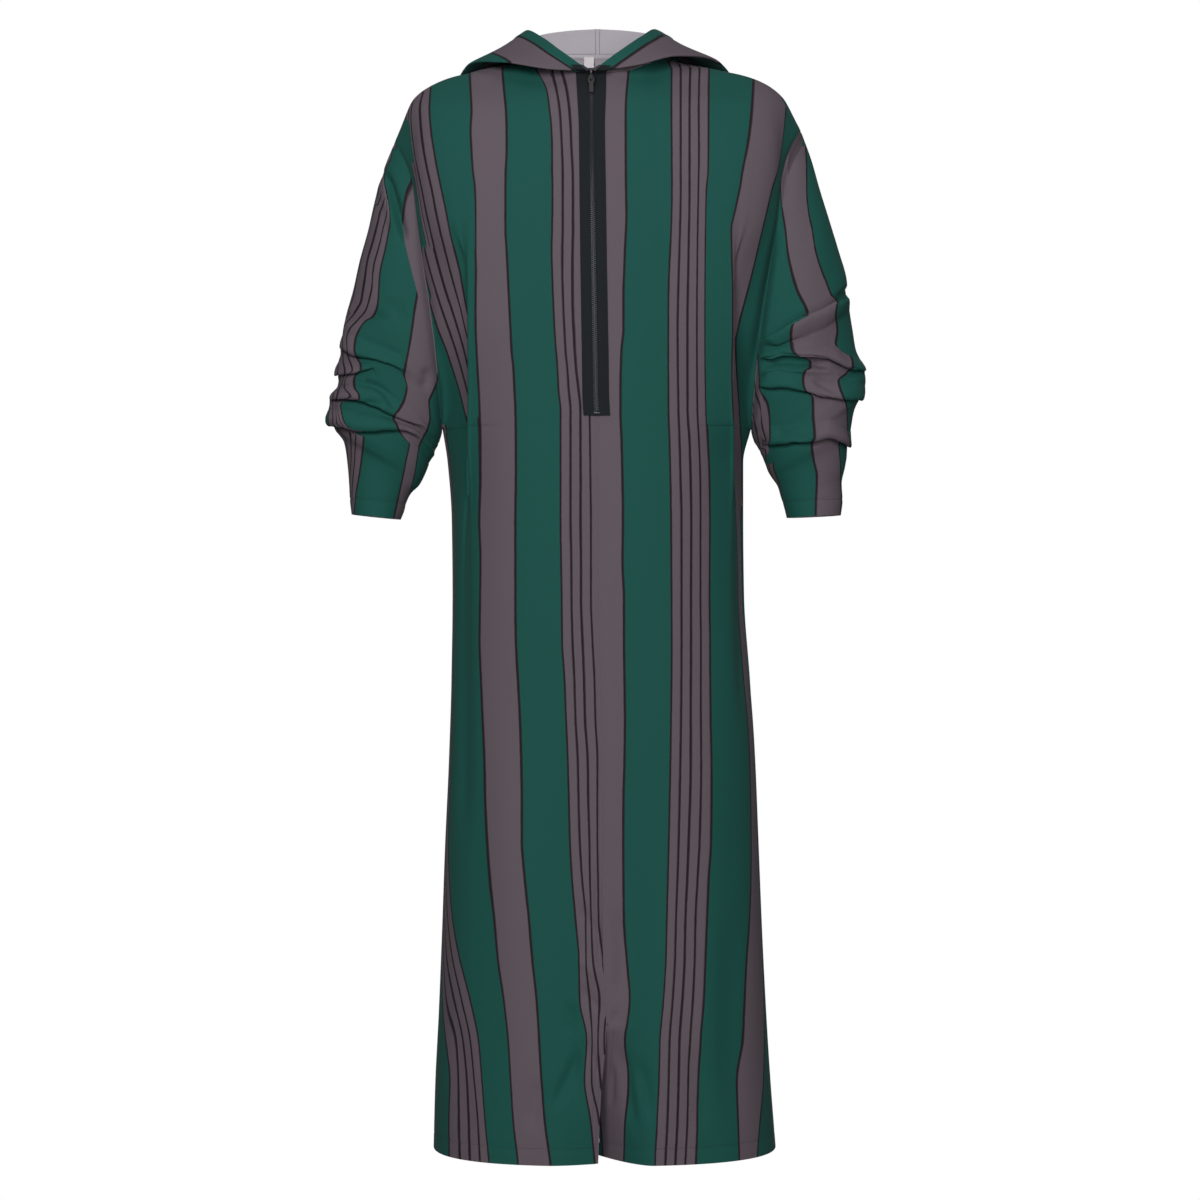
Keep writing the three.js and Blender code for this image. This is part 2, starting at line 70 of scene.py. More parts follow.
def pchip(xs, ys, x):
    """Smooth curve through points that never overshoots them."""
    xs = np.asarray(xs, float)
    ys = np.asarray(ys, float)
    if xs[0] > xs[-1]:
        xs, ys = xs[::-1], ys[::-1]
    h = np.diff(xs)
    d = np.diff(ys) / h
    m = np.zeros(len(xs))
    m[0], m[-1] = d[0], d[-1]
    for k in range(1, len(xs) - 1):
        if d[k - 1] * d[k] > 0:
            w1, w2 = 2 * h[k] + h[k - 1], h[k] + 2 * h[k - 1]
            m[k] = (w1 + w2) / (w1 / d[k - 1] + w2 / d[k])
    x = np.clip(x, xs[0], xs[-1])
    i = np.clip(np.searchsorted(xs, x, side="right") - 1, 0, len(xs) - 2)
    t = (x - xs[i]) / h[i]
    return (
        (2 * t**3 - 3 * t**2 + 1) * ys[i]
        + (t**3 - 2 * t**2 + t) * h[i] * m[i]
        + (3 * t**2 - 2 * t**3) * ys[i + 1]
        + (t**3 - t**2) * h[i] * m[i + 1]
    )


def catmull(V, t, wrap=False):
    """Smooth curve through the rows of V at the places t, counted in rows."""
    V = np.asarray(V, float)
    n = len(V)
    i = np.floor(t).astype(int)
    if not wrap:
        i = np.clip(i, 0, n - 2)
    f = (t - i).reshape((-1,) + (1,) * (V.ndim - 1))

    def at(k):
        return V[k % n] if wrap else V[np.clip(k, 0, n - 1)]

    a, b, c, d = at(i - 1), at(i), at(i + 1), at(i + 2)
    if not wrap:
        a = np.where((i == 0).reshape(f.shape), 2 * b - c, a)
        d = np.where((i == n - 2).reshape(f.shape), 2 * c - b, d)
    return 0.5 * (2 * b + (c - a) * f + (2 * a - 5 * b + 4 * c - d) * f**2 + (3 * b - a - 3 * c + d) * f**3)


def curve(rows, name, z):
    return pchip([r["z"] for r in rows], [r[name] for r in rows], z)


def table(names, rows):
    return [dict(zip(names.split(), r)) for r in rows]


# ------------------------------------------------------------------ the form, as in the CAD part
SEAM = 0.2
UNDERARM_Z = -441.0
HEM_Z = -1297.0
SIDE_POWER = 2.6
BODY = table("z right left front back cf", [
    (-441, -186, 184, 117, 116, 0), (-480, -180, 175, 118, 117, 0), (-550, -175, 175, 119, 118, 0),
    (-640, -174, 176, 121, 119, 0.5), (-740, -175, 183, 123, 121, 3.5), (-840, -178, 189, 126, 124, 5.8),
    (-940, -182.5, 193, 130, 128, 5.6), (-1040, -186, 197, 135, 132, 6), (-1140, -190, 202, 141, 136, 10),
    (-1220, -194, 207, 146, 139, 4), (-1297, -196, 213, 150, 142, 1)])
CHEST = table("z front back cf", [
    (20, 58, 58, -7.6), (-24, 60, 76, -7.6), (-60, 78, 90, -7), (-100, 92, 102, -6.5), (-150, 104, 112, -5.8),
    (-210, 111, 118, -5), (-280, 115, 119, -4), (-360, 117, 118, -2.6), (-407, 117, 117, -2), (-441, 117, 116, 0)])
PLEAT = table("z edge tuck weight back", [
    (0, 154, 0, 0, 2), (-110, 154, 0, 0, 3), (-190, 153, 0, 0.15, 5), (-260, 152.5, 6, 0.85, 13), (-320, 152, 14, 1, 22),
    (-400, 152, 18, 1, 25), (-441, 153, 16, 1, 22), (-500, 154, 7, 0.8, 14), (-580, 153, 1, 0.35, 7), (-700, 152, 0, 0, 2)])
NECK = [(-7.6, -60, -24), (-34, -56, -20), (-60, -42, -9), (-84, 0, 3), (-66, 42, 12), (-36, 56, 16), (0, 60, 17)]
SHOULDER = {
    "right": [(-104, -3), (-128, -7), (-154, -14), (-168, -18), (-190, -27), (-216, -44), (-244, -97)],
    "left": [(104, -3), (128, -7), (152, -12), (168, -16), (190, -24), (218, -42), (244, -82)]}
DIVISIONS = [0, 0.1, 0.27, 0.44, 0.6, 0.74, 0.86, 0.93, 0.975, 0.995, 1]
RING0 = {
    "right": dict(xo=-244, zo=-97, xi=-186, zi=-441, front=54, back=56, bow=12),
    "left": dict(xo=244, zo=-82, xi=184, zi=-441, front=54, back=56, bow=-12)}
EDGE_OUT = {"right": 0.0, "left": 8.0}
SLIT_TOP_Z = -1140.0
SLIT_IN = {"right": 16.0, "left": 70.0}


def depth_of(X):
    return np.maximum(0, 1 - np.abs(X) ** SIDE_POWER) ** (1 / SIDE_POWER)


def ring_point(s, angle, nip=0.0):
    """Point of a sleeve ring; nip draws the seam in at the shoulder."""
    c, n = np.cos(angle), np.sin(angle)
    turn = np.abs((angle + np.pi) % (2 * np.pi) - np.pi)
    x = lerp(s["xi"], s["xo"], (1 + c) / 2) + s["bow"] * n * n - np.sign(s["xo"]) * nip * np.exp(-(((turn - 0.75) / 0.42) ** 2))
    z = lerp(s["zi"], s["zo"], (1 + c) / 2)
    y = np.where(n >= 0, -s["front"] * n, -s["back"] * n)
    return np.stack([x + 0 * y, y, z + 0 * y], -1)


def low_share(z):
    """1 at the underarm and below, fading to 0 above it, where the armhole's depth reaches less far in."""
    return 1 - ease((z - UNDERARM_Z) / 130)


def body_z(i):
    """Height of a row below the underarm."""
    return np.interp(i, np.arange(10, 21), [r["z"] for r in BODY])


def body_quarter(side, face, I, J):
    """Points of one quarter of the body: I rows (0 shoulder, 10 underarm, 20 hem), J columns (0 centre, 10 side)."""
    sign = -1 if side == "right" else 1
    X = pchip(np.arange(11), DIVISIONS, J)
    X = np.where(J >= 9, lerp(0.995, 1, J - 9), X)
    neck = [0, 1, 2, 3] if face < 0 else [6, 5, 4, 3]
    top = [(NECK[k][0] if k == 0 else sign * abs(NECK[k][0]), NECK[k][1], NECK[k][2]) for k in neck]
    top += [(x, 0, z) for x, z in SHOULDER[side]]
    top = np.array(top, float)
    T = np.stack([
        pchip(np.arange(11), top[:, 0] * sign, J) * sign,
        pchip(np.arange(11), top[:, 1], J),
        pchip(np.arange(11), top[:, 2], J)], -1)
    up = I[I <= 10]
    low = I[I > 10]
    key = "front" if face < 0 else "back"

    def placed(z, ex):
        """Share of the way to the side; on the fronts the pleat's edge keeps to one column."""
        if face > 0:
            return X[None, :] + 0 * z
        e6 = np.minimum((curve(PLEAT, "edge", z) + EDGE_OUT[side]) / np.abs(ex), 0.97)
        x6 = lerp(DIVISIONS[6], e6, ease((z + 900) / 320))
        return np.where(J[None, :] <= 6, X[None, :] / DIVISIONS[6] * x6, lerp(x6, 1, (X[None, :] - DIVISIONS[6]) / (1 - DIVISIONS[6])))

    def plain(z, ex, ey):
        F = curve(CHEST, key, z)
        cf = curve(CHEST, "cf", z) if face < 0 else 0 * z
        Xw = placed(z, ex)
        q = low_share(z)
        return lerp(cf, ex, Xw), F * depth_of(Xw) + np.abs(ey) * lerp(1 - depth_of(Xw), Xw**10, q), F, cf, Xw

    # Above the underarm.
    E = ring_point(RING0[side], (1 if face < 0 else -1) * np.pi * up / 10, 9.0)
    tau = ((E[:, 2] - E[0, 2]) / (UNDERARM_Z - E[0, 2]))[:, None]
    z = lerp(T[None, :, 2], UNDERARM_Z, tau)
    drop = np.minimum(1, (T[None, :, 2] - z) / 100)
    s = np.sqrt(np.maximum(0, drop * (2 - drop)))
    x0, y0 = plain(T[None, :, 2] + 0 * z, E[0, 0], E[0, 1])[:2]
    x, y, F, cf, Xw = plain(z, E[:, 0][:, None], E[:, 1][:, None])
    if face < 0:
        x, y = pleat(sign, z, J, Xw, x, y, F, cf, E[:, 0][:, None], np.abs(E[:, 1])[:, None])
    a = np.stack([x + (T[None, :, 0] - x0) * (1 - s), face * y + (T[None, :, 1] - face * y0) * (1 - s), z], -1)
    a[:, -1] = E
    # Below it.
    zl = body_z(low)[:, None] + 0 * X[None, :]
    ex = curve(BODY, side, zl)
    F = curve(BODY, key, zl)
    cf = curve(BODY, "cf", zl) if face < 0 else 0 * zl
    Xw = placed(zl, ex)
    x = lerp(cf, ex, Xw)
    y = F * depth_of(Xw)
    if face < 0:
        x, y = pleat(sign, zl, J, Xw, x, y, F, cf, ex, 0 * ex)
        down = np.clip((SLIT_TOP_Z - zl) / (SLIT_TOP_Z - HEM_Z), 0, 1)
        y = y - SLIT_IN[side] * down * np.clip(1 - Xw / 0.3, 0, 1) ** 1.5
    b = np.stack([x, face * y, zl], -1)
    return np.concatenate([a, b], 0)


def pleat(sign, z, J, X, x, y, F, cf, side, E):
    """The soft pleat down each front: out to its edge, round and back behind it, then on to the side."""
    w = curve(PLEAT, "weight", z)
    edge = sign * (curve(PLEAT, "edge", z) + EDGE_OUT["left" if sign > 0 else "right"])
    tuck = curve(PLEAT, "tuck", z)
    back = curve(PLEAT, "back", z)
    j = J[None, :]
    n6 = int(np.argmin(np.abs(J - 6)))
    x6, y6 = X[:, n6:n6 + 1], y[:, n6:n6 + 1]
    # The front layer comes forward of the plain form near its edge; the way out leaves it behind.
    front = y + 2.0 * ease((j - 4.2) / 1.6)
    step = [(5.55, -4.5, 2.0), (5.8, -1.4, 1.2), (6.0, -0.4, -1.0), (6.25, -0.8, -3.4), (6.6, None, 0.5), (6.95, 1.0, 0.9), (7.25, 0.0, 1.0)]
    inner = edge - sign * tuck
    ctrl = []
    for at, dx, dy in step:
        if at <= 6.25:
            ctrl.append((at, edge + sign * dx, y6 + dy))
        elif dx is None:
            ctrl.append((at, lerp(edge, inner, 0.5), y6 - back * 0.45))
        elif dy == 0.9:
            ctrl.append((at, inner + sign * 0.4, y6 - back * 0.82))
        else:
            ctrl.append((at, inner + sign * 4.0, y6 - back))
    px, py = x + 0 * j, front + 0 * j
    k = np.clip((j - 7.25) / 2.75, 0, 1)
    px = np.where(j >= 7.25, lerp(inner + sign * 4.0, side, k), px)
    q = low_share(z)
    py = np.where(j >= 7.25, lerp(y6 - back, E * (1 - q), k**1.35) + E * q * k**10, py)
    n = len(ctrl) - 1
    for c in range(n):
        f = (j - ctrl[c][0]) / (ctrl[c + 1][0] - ctrl[c][0])
        on = (f >= 0) & (f <= 1)
        a, b, d, e = ctrl[max(c - 1, 0)], ctrl[c], ctrl[c + 1], ctrl[min(c + 2, n)]
        for q in (1, 2):
            v = 0.5 * (2 * b[q] + (d[q] - a[q]) * f + (2 * a[q] - 5 * b[q] + 4 * d[q] - e[q]) * f**2 + (3 * b[q] - a[q] - 3 * d[q] + e[q]) * f**3)
            if q == 1:
                px = np.where(on, v, px)
            else:
                py = np.where(on, v, py)
    # The front layer runs smoothly into the roll.
    n55 = int(np.argmin(np.abs(J - 5.5)))
    into = ease((j - 4.0) / 1.5) * (j < 5.55)
    px = px + into * ((edge - sign * 4.9) - x[:, n55:n55 + 1])
    py = np.where(j < 5.55, y + into * ((y6 + 2.1) - y[:, n55:n55 + 1]), py)
    return lerp(x, px, w), lerp(y, py, w)


# ------------------------------------------------------------------ meshes
def normals_of(P, wrap=False, flip=False):
    du = np.gradient(P, axis=0)
    if wrap:
        dv = (np.roll(P, -1, 1) - np.roll(P, 1, 1)) / 2
    else:
        dv = np.gradient(P, axis=1)
    n = np.cross(du, dv)
    n /= np.maximum(np.linalg.norm(n, axis=-1, keepdims=True), 1e-9)
    return -n if flip else n


def arc(P, axis):
    d = np.linalg.norm(np.diff(P, axis=axis), axis=-1)
    zero = np.zeros_like(np.take(d, [0], axis=axis))
    return np.concatenate([zero, np.cumsum(d, axis=axis)], axis=axis)


def make(name, verts, faces, mats=(), which=None, smooth=True, sharp=None):
    mesh = bpy.data.meshes.new(name)
    mesh.from_pydata((np.asarray(verts, float) * MM).tolist(), [], [list(map(int, f)) for f in faces])
    ob = bpy.data.objects.new(name, mesh)
    bpy.context.scene.collection.objects.link(ob)
    for m in mats:
        mesh.materials.append(m)
    if which is not None:
        mesh.polygons.foreach_set("material_index", np.asarray(which, np.int32))
    mesh.polygons.foreach_set("use_smooth", np.full(len(mesh.polygons), smooth))
    if sharp:
        mesh.set_sharp_from_angle(angle=math.radians(sharp))
    mesh.update()
    return ob


def cloth(name, P, W, L, mats, wrap=False, flip=False, thick=0.9, W2=None, second=None, tight=None):
    """Closed thin shell. W is the place across the stripes and L along them, in mm.
    Where second (by cell) is true the cell takes W2, so two lengths of cloth can meet in a fold.
    Where tight (by cell) is true both faces take the outer finish."""
    R, C = P.shape[:2]
    N = normals_of(P, wrap, flip)
    T = thick if np.ndim(thick) else np.full((R, C), float(thick))
    Q = P - N * T[..., None]
    verts = np.concatenate([P.reshape(-1, 3), Q.reshape(-1, 3)])
    i, j = np.meshgrid(np.arange(R - 1), np.arange(C if wrap else C - 1), indexing="ij")
    i, j = i.ravel(), j.ravel()
    k = (j + 1) % C
    a, b, c, d = i * C + j, (i + 1) * C + j, (i + 1) * C + k, i * C + k
    outer = np.stack([a, b, c, d], 1)
    if flip:
        outer = outer[:, ::-1]
    inner = outer[:, ::-1] + R * C
    rim = []

    def border(u, v):
        rim.append([u, v, v + R * C, u + R * C])

    cols = range(C if wrap else C - 1)
    for q in cols:
        r = (q + 1) % C
        border(r, q)
        border((R - 1) * C + q, (R - 1) * C + r)
    if not wrap:
        for q in range(R - 1):
            border(q * C, (q + 1) * C)
            border((q + 1) * C + C - 1, q * C + C - 1)
    rim = np.array(rim)
    if flip:
        rim = rim[:, ::-1]
    faces = np.concatenate([outer, inner, rim])
    pale = np.ones(len(inner)) if tight is None else 1.0 - tight.ravel()
    which = np.concatenate([np.zeros(len(outer)), pale, np.zeros(len(rim))])
    ob = make(name, verts, faces, mats, which, sharp=60)
    # The place of each corner on the cloth, in metres.
    Wf, Lf = W.ravel(), L.ravel()
    if wrap:
        Wl = np.concatenate([W, W[:, :1] + WRAP_STEP.get(name, 0)], 1)
        outW = np.stack([Wl[i, j], Wl[i + 1, j], Wl[i + 1, j + 1], Wl[i, j + 1]], 1)
    else:
        outW = np.stack([Wf[a], Wf[b], Wf[c], Wf[d]], 1)
        if W2 is not None:
            alt = np.stack([W2.ravel()[a], W2.ravel()[b], W2.ravel()[c], W2.ravel()[d]], 1)
            outW = np.where(second.ravel()[:, None], alt, outW)
    outL = np.stack([Lf[a], Lf[b], Lf[c], Lf[d]], 1)
    if flip:
        outW, outL = outW[:, ::-1], outL[:, ::-1]
    rr = rim % (R * C)
    UW = np.concatenate([outW, outW[:, ::-1], Wf[rr]])
    UL = np.concatenate([outL, outL[:, ::-1], Lf[rr]])
    uv = ob.data.uv_layers.new(name="cloth")
    uv.data.foreach_set("uv", (np.stack([UW, UL], -1) * MM).astype(np.float32).ravel())
    return ob


WRAP_STEP = {}


# ------------------------------------------------------------------ stripes
# Places across the cloth, in mm: one repeat has five dark lines round four narrow mauve bands,
# a green band, a wide mauve band and a second green band.
REPEAT = 196.7
C = [0, 11.3, 22.6, 33.9, 45.2]
B = [100.2, 141.7]
A = [196.7, 208.0, 219.3, 230.6]
E5 = [196.7, 208.0, 219.3, 230.6, 241.9]
F2 = [296.9, 338.4]

# Where each dark line runs: place across the cloth, then heights and places across in the view.
RIGHT_LINES = [
    (B[0], [70, 90, 110, 130, 150, 170, 190, 210, 230, 250, 270, 290, 310, 330, 350, 370, 390, 410, 440, 480, 520, 560, 600, 640, 680, 720, 760, 800, 840, 880, 920, 960, 1000, 1040, 1080, 1120, 1160],
     [469.5, 470.5, 471.5, 470.5, 471.3, 472.7, 475, 475.5, 475.5, 475.5, 476, 475.7, 475.5, 475.7, 476.5, 477.5, 478.7, 479.5, 480.5, 480.5, 479.3, 480.5, 480, 479.5, 481, 482.8, 484.8, 485.8, 487.8, 490.8, 495, 498.5, 504.3, 508.5, 510.7, 513, 517.5]),
    (B[1], [70, 90, 110, 130, 150, 170, 190, 210, 230, 250, 270, 290, 310, 330, 350, 370, 390, 410, 440, 480, 520, 560, 600, 640, 680, 720, 760, 800, 840, 880, 920, 960, 1000, 1040, 1080, 1120, 1160],
     [502.5, 504, 506, 506.7, 506.7, 505.7, 505.3, 505.3, 505.3, 506.5, 507.5, 508.5, 509.5, 510.5, 511.5, 513.5, 514.5, 515.5, 516, 516, 515.5, 515.5, 515.5, 516, 518, 520, 521.3, 522, 522, 525, 529, 532.3, 536.5, 539, 541.3, 544.5, 550]),
    (A[0], [70, 90, 110, 130, 150, 170, 190, 230, 250, 270, 310, 330, 350, 370, 390, 410, 440, 480, 520, 560, 600, 640, 680, 720, 760, 800, 840, 880, 920, 960, 1000, 1040, 1080, 1120, 1160],
     [536, 546.5, 549.5, 551.5, 552, 552, 552.5, 552, 551.5, 552, 553.5, 554.5, 556, 557.5, 558.5, 560.5, 560.5, 560.5, 560.5, 561, 561.7, 562, 564.5, 566, 567.7, 568.8, 569.8, 572, 575.5, 579, 579.5, 587, 584.7, 590.5, 594.5]),
    (A[1], [70, 90, 110, 130, 150, 170, 190, 230, 250, 270, 310, 330, 350, 370, 390, 410, 440, 480, 520, 560, 600, 640, 680, 720, 760, 800, 840, 880, 920, 960, 1000, 1040, 1080, 1120, 1160],
     [552, 556.5, 559.7, 561, 562, 562.7, 562.7, 562.7, 562.3, 562.3, 563.5, 564.5, 565.5, 567.5, 568.7, 570.5, 570.5, 570.5, 570.5, 571.3, 571.5, 572.5, 574.3, 575.5, 577.7, 578.5, 579.7, 582.3, 586, 586, 589.5, 592, 591.5, 599, 603]),
    (A[2], [70, 90, 110, 130, 150, 170, 190, 230, 250, 270, 310, 330, 350, 370, 390, 410, 440, 480, 520, 560, 600, 640, 680, 720, 760, 800, 840, 880, 920, 960, 1000, 1040, 1160],
     [561, 566.5, 569.3, 570.7, 571.5, 572.7, 573, 573, 572.5, 572.3, 572.5, 573.5, 574.5, 576, 578.5, 580.5, 580.5, 580.7, 580.5, 581, 581, 582.5, 584, 585, 587.7, 588.3, 589.5, 590, 591, 592.7, 599.5, 598, 611]),
    (A[3], [70, 250, 410, 440, 480, 520, 560, 600, 640, 680, 720, 760, 800, 840, 880, 920, 960, 1000, 1040, 1160],
     [580.5, 584, 589.5, 590, 590.5, 591, 591, 591, 592.5, 594.5, 595.5, 597.5, 597.3, 597.3, 598, 598.5, 603, 606.5, 604, 620]),
    (C[4], [70, 90, 110, 130, 150, 170, 190, 210, 230, 250], [432, 430.5, 429.5, 431, 434, 437.5, 441.7, 446, 449.7, 454.5]),
    (C[4], [878, 900, 920, 960, 1000, 1040, 1080, 1120, 1160], [443.5, 447.5, 451.5, 460, 470.3, 478.5, 482, 485, 489]),
    (C[3], [92, 97.4, 101, 108.5, 119.6, 134.4, 150, 170, 190, 210, 230, 250], [423.4, 422, 420.9, 420.2, 420.7, 422, 423.9, 427.5, 432, 435.7, 440, 445]),
    (C[3], [908, 920, 960, 1000, 1040, 1080, 1120, 1160], [443.2, 445.5, 452.7, 461.5, 469.7, 473.7, 477.5, 480]),
    (C[2], [97, 101, 108.5, 117.8, 130, 150, 170, 190, 210, 230, 250], [415.2, 413.3, 411.4, 410.6, 411.4, 413.8, 417.5, 421.7, 425.5, 430, 434.5]),
    (C[2], [940, 960, 1000, 1040, 1080, 1120, 1160], [443, 447.5, 454.5, 461.5, 465.7, 467.5, 470]),
    (C[1], [950, 960, 1000, 1040, 1080, 1120, 1160], [440, 442.5, 448.5, 454.7, 457, 458, 460]),
    (C[0], [970, 1000, 1040, 1080, 1120, 1160], [437, 442.5, 446.5, 449.5, 448.5, 449]),
    (54, [425, 440, 480, 520, 560, 600, 640, 680, 720, 760, 800, 840, 870], [450, 449.5, 452.5, 454.5, 455.5, 456, 455, 454.5, 453.5, 452, 450.5, 448.5, 446.5]),
    (50, [874, 876, 878], [445.5, 445, 444.7]),
]
# Behind the pleat, from the armhole to the pleat's edge.
RIGHT_WING = [
    (C[0], [255, 270, 290, 310, 330, 350, 370, 390, 410, 440], [417, 419.5, 425.5, 431.5, 438, 446, 452.7, 459, 464, 471]),
    (C[1], [200, 210, 230, 250, 270, 290, 310, 330, 350, 370, 390, 410, 440], [414, 416.5, 421.7, 424.5, 429.5, 435.5, 442, 449, 455.7, 461.7, 467, 472, 479]),
    (C[2], [150, 190, 210, 230, 250, 270, 290, 310, 330, 350, 370, 390, 440], [413.5, 421.7, 425.5, 430, 434.5, 439.7, 445.3, 452, 458.3, 464, 468.5, 474, 487]),
    (C[3], [150, 190, 210, 230, 250, 270, 290, 310, 330, 350, 440], [423.5, 432, 435.7, 440, 445, 450, 455.5, 461, 465.5, 471, 496]),
    (C[4], [150, 190, 210, 230, 250, 270, 290, 310, 330, 440], [433.5, 441.7, 446, 449.7, 454.5, 459.5, 463, 466.7, 471.5, 505]),
]
LEFT_LINES = [
    (F2[0], [70, 90, 110, 130, 150, 170, 190, 210, 230, 250, 270, 290, 330, 370, 410, 440, 480, 520, 560, 600, 640, 680, 720, 760, 800, 840, 880, 920, 960, 1000, 1040, 1080, 1120, 1160],
     [754, 753, 751.5, 749.5, 746.5, 742.5, 739.3, 735, 731, 731.5, 732, 732.5, 732.5, 731.7, 733, 735.5, 737.5, 738, 739, 741.3, 743.5, 746, 748.5, 750.5, 752.5, 752.7, 751.7, 749.7, 747, 745, 743, 737.7, 738.5, 739.5]),
    (E5[4], [70, 90, 150, 170, 190, 210, 250, 330, 410, 440, 480, 520, 600, 640, 720, 760, 840, 880, 920, 960, 1000, 1040, 1080, 1120, 1160],
     [709, 708.7, 708.5, 708.3, 706.5, 706, 705.5, 705, 706, 707.5, 709.5, 710, 709.5, 710, 710, 710.5, 710, 707.5, 706, 704.5, 703, 700, 699, 697.7, 696]),
    (E5[3], [70, 110, 150, 190, 250, 330, 410, 440, 480, 520, 600, 640, 720, 760, 840, 880, 920, 960, 1000, 1040, 1080, 1120, 1160],
     [699.5, 698.7, 699, 698.5, 697.5, 697, 697.5, 699, 700.3, 700.5, 700.5, 701, 700.5, 700.5, 699, 697, 695, 694.3, 692.5, 690, 688.5, 687.5, 685.5]),
    (E5[2], [70, 110, 190, 250, 330, 410, 440, 480, 520, 600, 640, 720, 760, 840, 880, 920, 960, 1000, 1040, 1080, 1120, 1160],
     [690.3, 689.5, 689.5, 688.7, 687.5, 687.5, 689.5, 690.7, 691.3, 691, 691, 690.5, 690.5, 688.5, 687, 685.3, 684.5, 682.3, 679.5, 678.7, 677.5, 675.5]),
    (E5[1], [70, 190, 250, 330, 410, 440, 480, 520, 600, 640, 720, 760, 840, 880, 920, 960, 1000, 1040, 1080, 1120, 1160],
     [680.7, 680.7, 679.5, 677.7, 678.5, 679.5, 680.5, 681.5, 681.5, 681.5, 681, 680.3, 678.7, 677.5, 676, 675, 672.7, 669.7, 668.7, 667.5, 665.5]),
    (E5[0], [70, 110, 190, 230, 250, 290, 330, 410, 440, 480, 520, 600, 640, 720, 760, 840, 880, 920, 960, 1000, 1040, 1080, 1120, 1160],
     [671.7, 671.5, 672, 671.3, 670.3, 668.7, 668.5, 668.5, 669.5, 670.5, 671, 671.5, 671.7, 671, 670.5, 669, 668, 667, 666, 663.5, 660, 659, 657, 655]),
    (141.7, [70, 110, 190, 210, 230, 250, 270, 290, 330, 350, 390, 410, 440, 480, 520, 560, 600, 640, 680, 720, 760, 800, 840, 880, 920, 960, 1000, 1020, 1040, 1080, 1120, 1160],
     [628.5, 625.7, 626, 626.5, 626, 625, 624.3, 623.5, 623.5, 621.5, 620.5, 620.5, 621.5, 622.5, 623, 622.5, 624, 624, 624.5, 625, 624.5, 623.5, 623.3, 623.5, 624, 627, 630, 628, 625, 626.5, 625, 624]),
    (F2[1], [110, 130, 150, 170, 190, 210, 230, 250], [786, 784, 781.5, 778, 772, 767.3, 762.5, 757.7]),
    (F2[1], [1038, 1044, 1080, 1120, 1160], [767.2, 766.6, 764, 760, 757]),
    (336.5, [510, 520, 560, 600, 640, 680, 720, 760, 800, 840, 880, 920, 960, 1000, 1034], [742.0, 742.3, 743.3, 743.8, 746.3, 749.3, 751.3, 753.8, 755.3, 757.3, 759.3, 760.8, 762.3, 764.8, 766.9]),
]
LEFT_WING = [
    (F2[1], [150, 190, 210, 230, 250, 270, 290, 310, 330, 340, 350, 377, 404, 424, 440, 460, 480, 505], [781.5, 772, 767.3, 762.5, 757.7, 753, 748, 742.5, 737.5, 735.7, 735.8, 737, 739, 740, 741, 742, 742.6, 743.3]),
    (F2[0], [150, 170, 190, 210, 230, 260, 300, 330], [746.5, 742.5, 739.3, 735, 731, 728, 724, 722]),
]


def line_x(line, y):
    ys, xs = line[1], line[2]
    x = pchip(ys, xs, y)
    # Beyond its ends a line runs on straight.
    lo, hi = y < ys[0], y > ys[-1]
    x = np.where(lo, xs[0] + (y - ys[0]) * (xs[1] - xs[0]) / (ys[1] - ys[0]) * 0.5, x)
    return np.where(hi, xs[-1] + (y - ys[-1]) * (xs[-1] - xs[-2]) / (ys[-1] - ys[-2]) * 0.5, x)


def across(P, lines, rising, cols=None, slope=1.0):
    """Place across the cloth for a grid whose columns run one way over the view.
    Each row takes the dark lines that it crosses, and goes on at 1 mm to 1 mm past the last."""
    R, C_ = P.shape[:2]
    cols = np.arange(C_) if cols is None else cols
    W = np.zeros((R, C_))
    S = arc(P, 1)
    X, Y = seen(P)
    for i in range(R):
        x, y, s = X[i, cols], Y[i, cols], S[i, cols]
        ks, ws = [], []
        for line in lines:
            if y.max() < line[1][0] - 3 or y.min() > line[1][-1] + (40 if line[1][-1] > 1100 else 3):
                continue
            g = x - line_x(line, y)
            hit = np.nonzero(g[:-1] * g[1:] <= 0)[0]
            if len(hit) == 0:
                continue
            h = hit[0]
            if not (line[1][0] - 3 <= y[h] <= line[1][-1] + (40 if line[1][-1] > 1100 else 3)):
                continue
            f = g[h] / (g[h] - g[h + 1]) if g[h] != g[h + 1] else 0
            ks.append(lerp(s[h], s[h + 1], f))
            ws.append(line[0])
        if not ks:
            W[i] = np.nan
            continue
        o = np.argsort(ks)
        ks, ws = np.array(ks)[o], np.array(ws, float)[o]
        keep = [0]
        for q in range(1, len(ks)):
            if (ws[q] - ws[keep[-1]]) * rising > 0 and ks[q] - ks[keep[-1]] > 1.5:
                keep.append(q)
        ks, ws = ks[keep], ws[keep]
        w = np.interp(S[i], ks, ws)
        w = np.where(S[i] < ks[0], ws[0] - (ks[0] - S[i]) * rising * slope, w)
        w = np.where(S[i] > ks[-1], ws[-1] + (S[i] - ks[-1]) * rising * slope, w)
        W[i] = w
    # Rows that cross no line take the row next to them.
    good = np.nonzero(~np.isnan(W[:, 0]))[0]
    for i in range(R):
        if np.isnan(W[i, 0]):
            W[i] = W[good[np.argmin(np.abs(good - i))]]
    return W


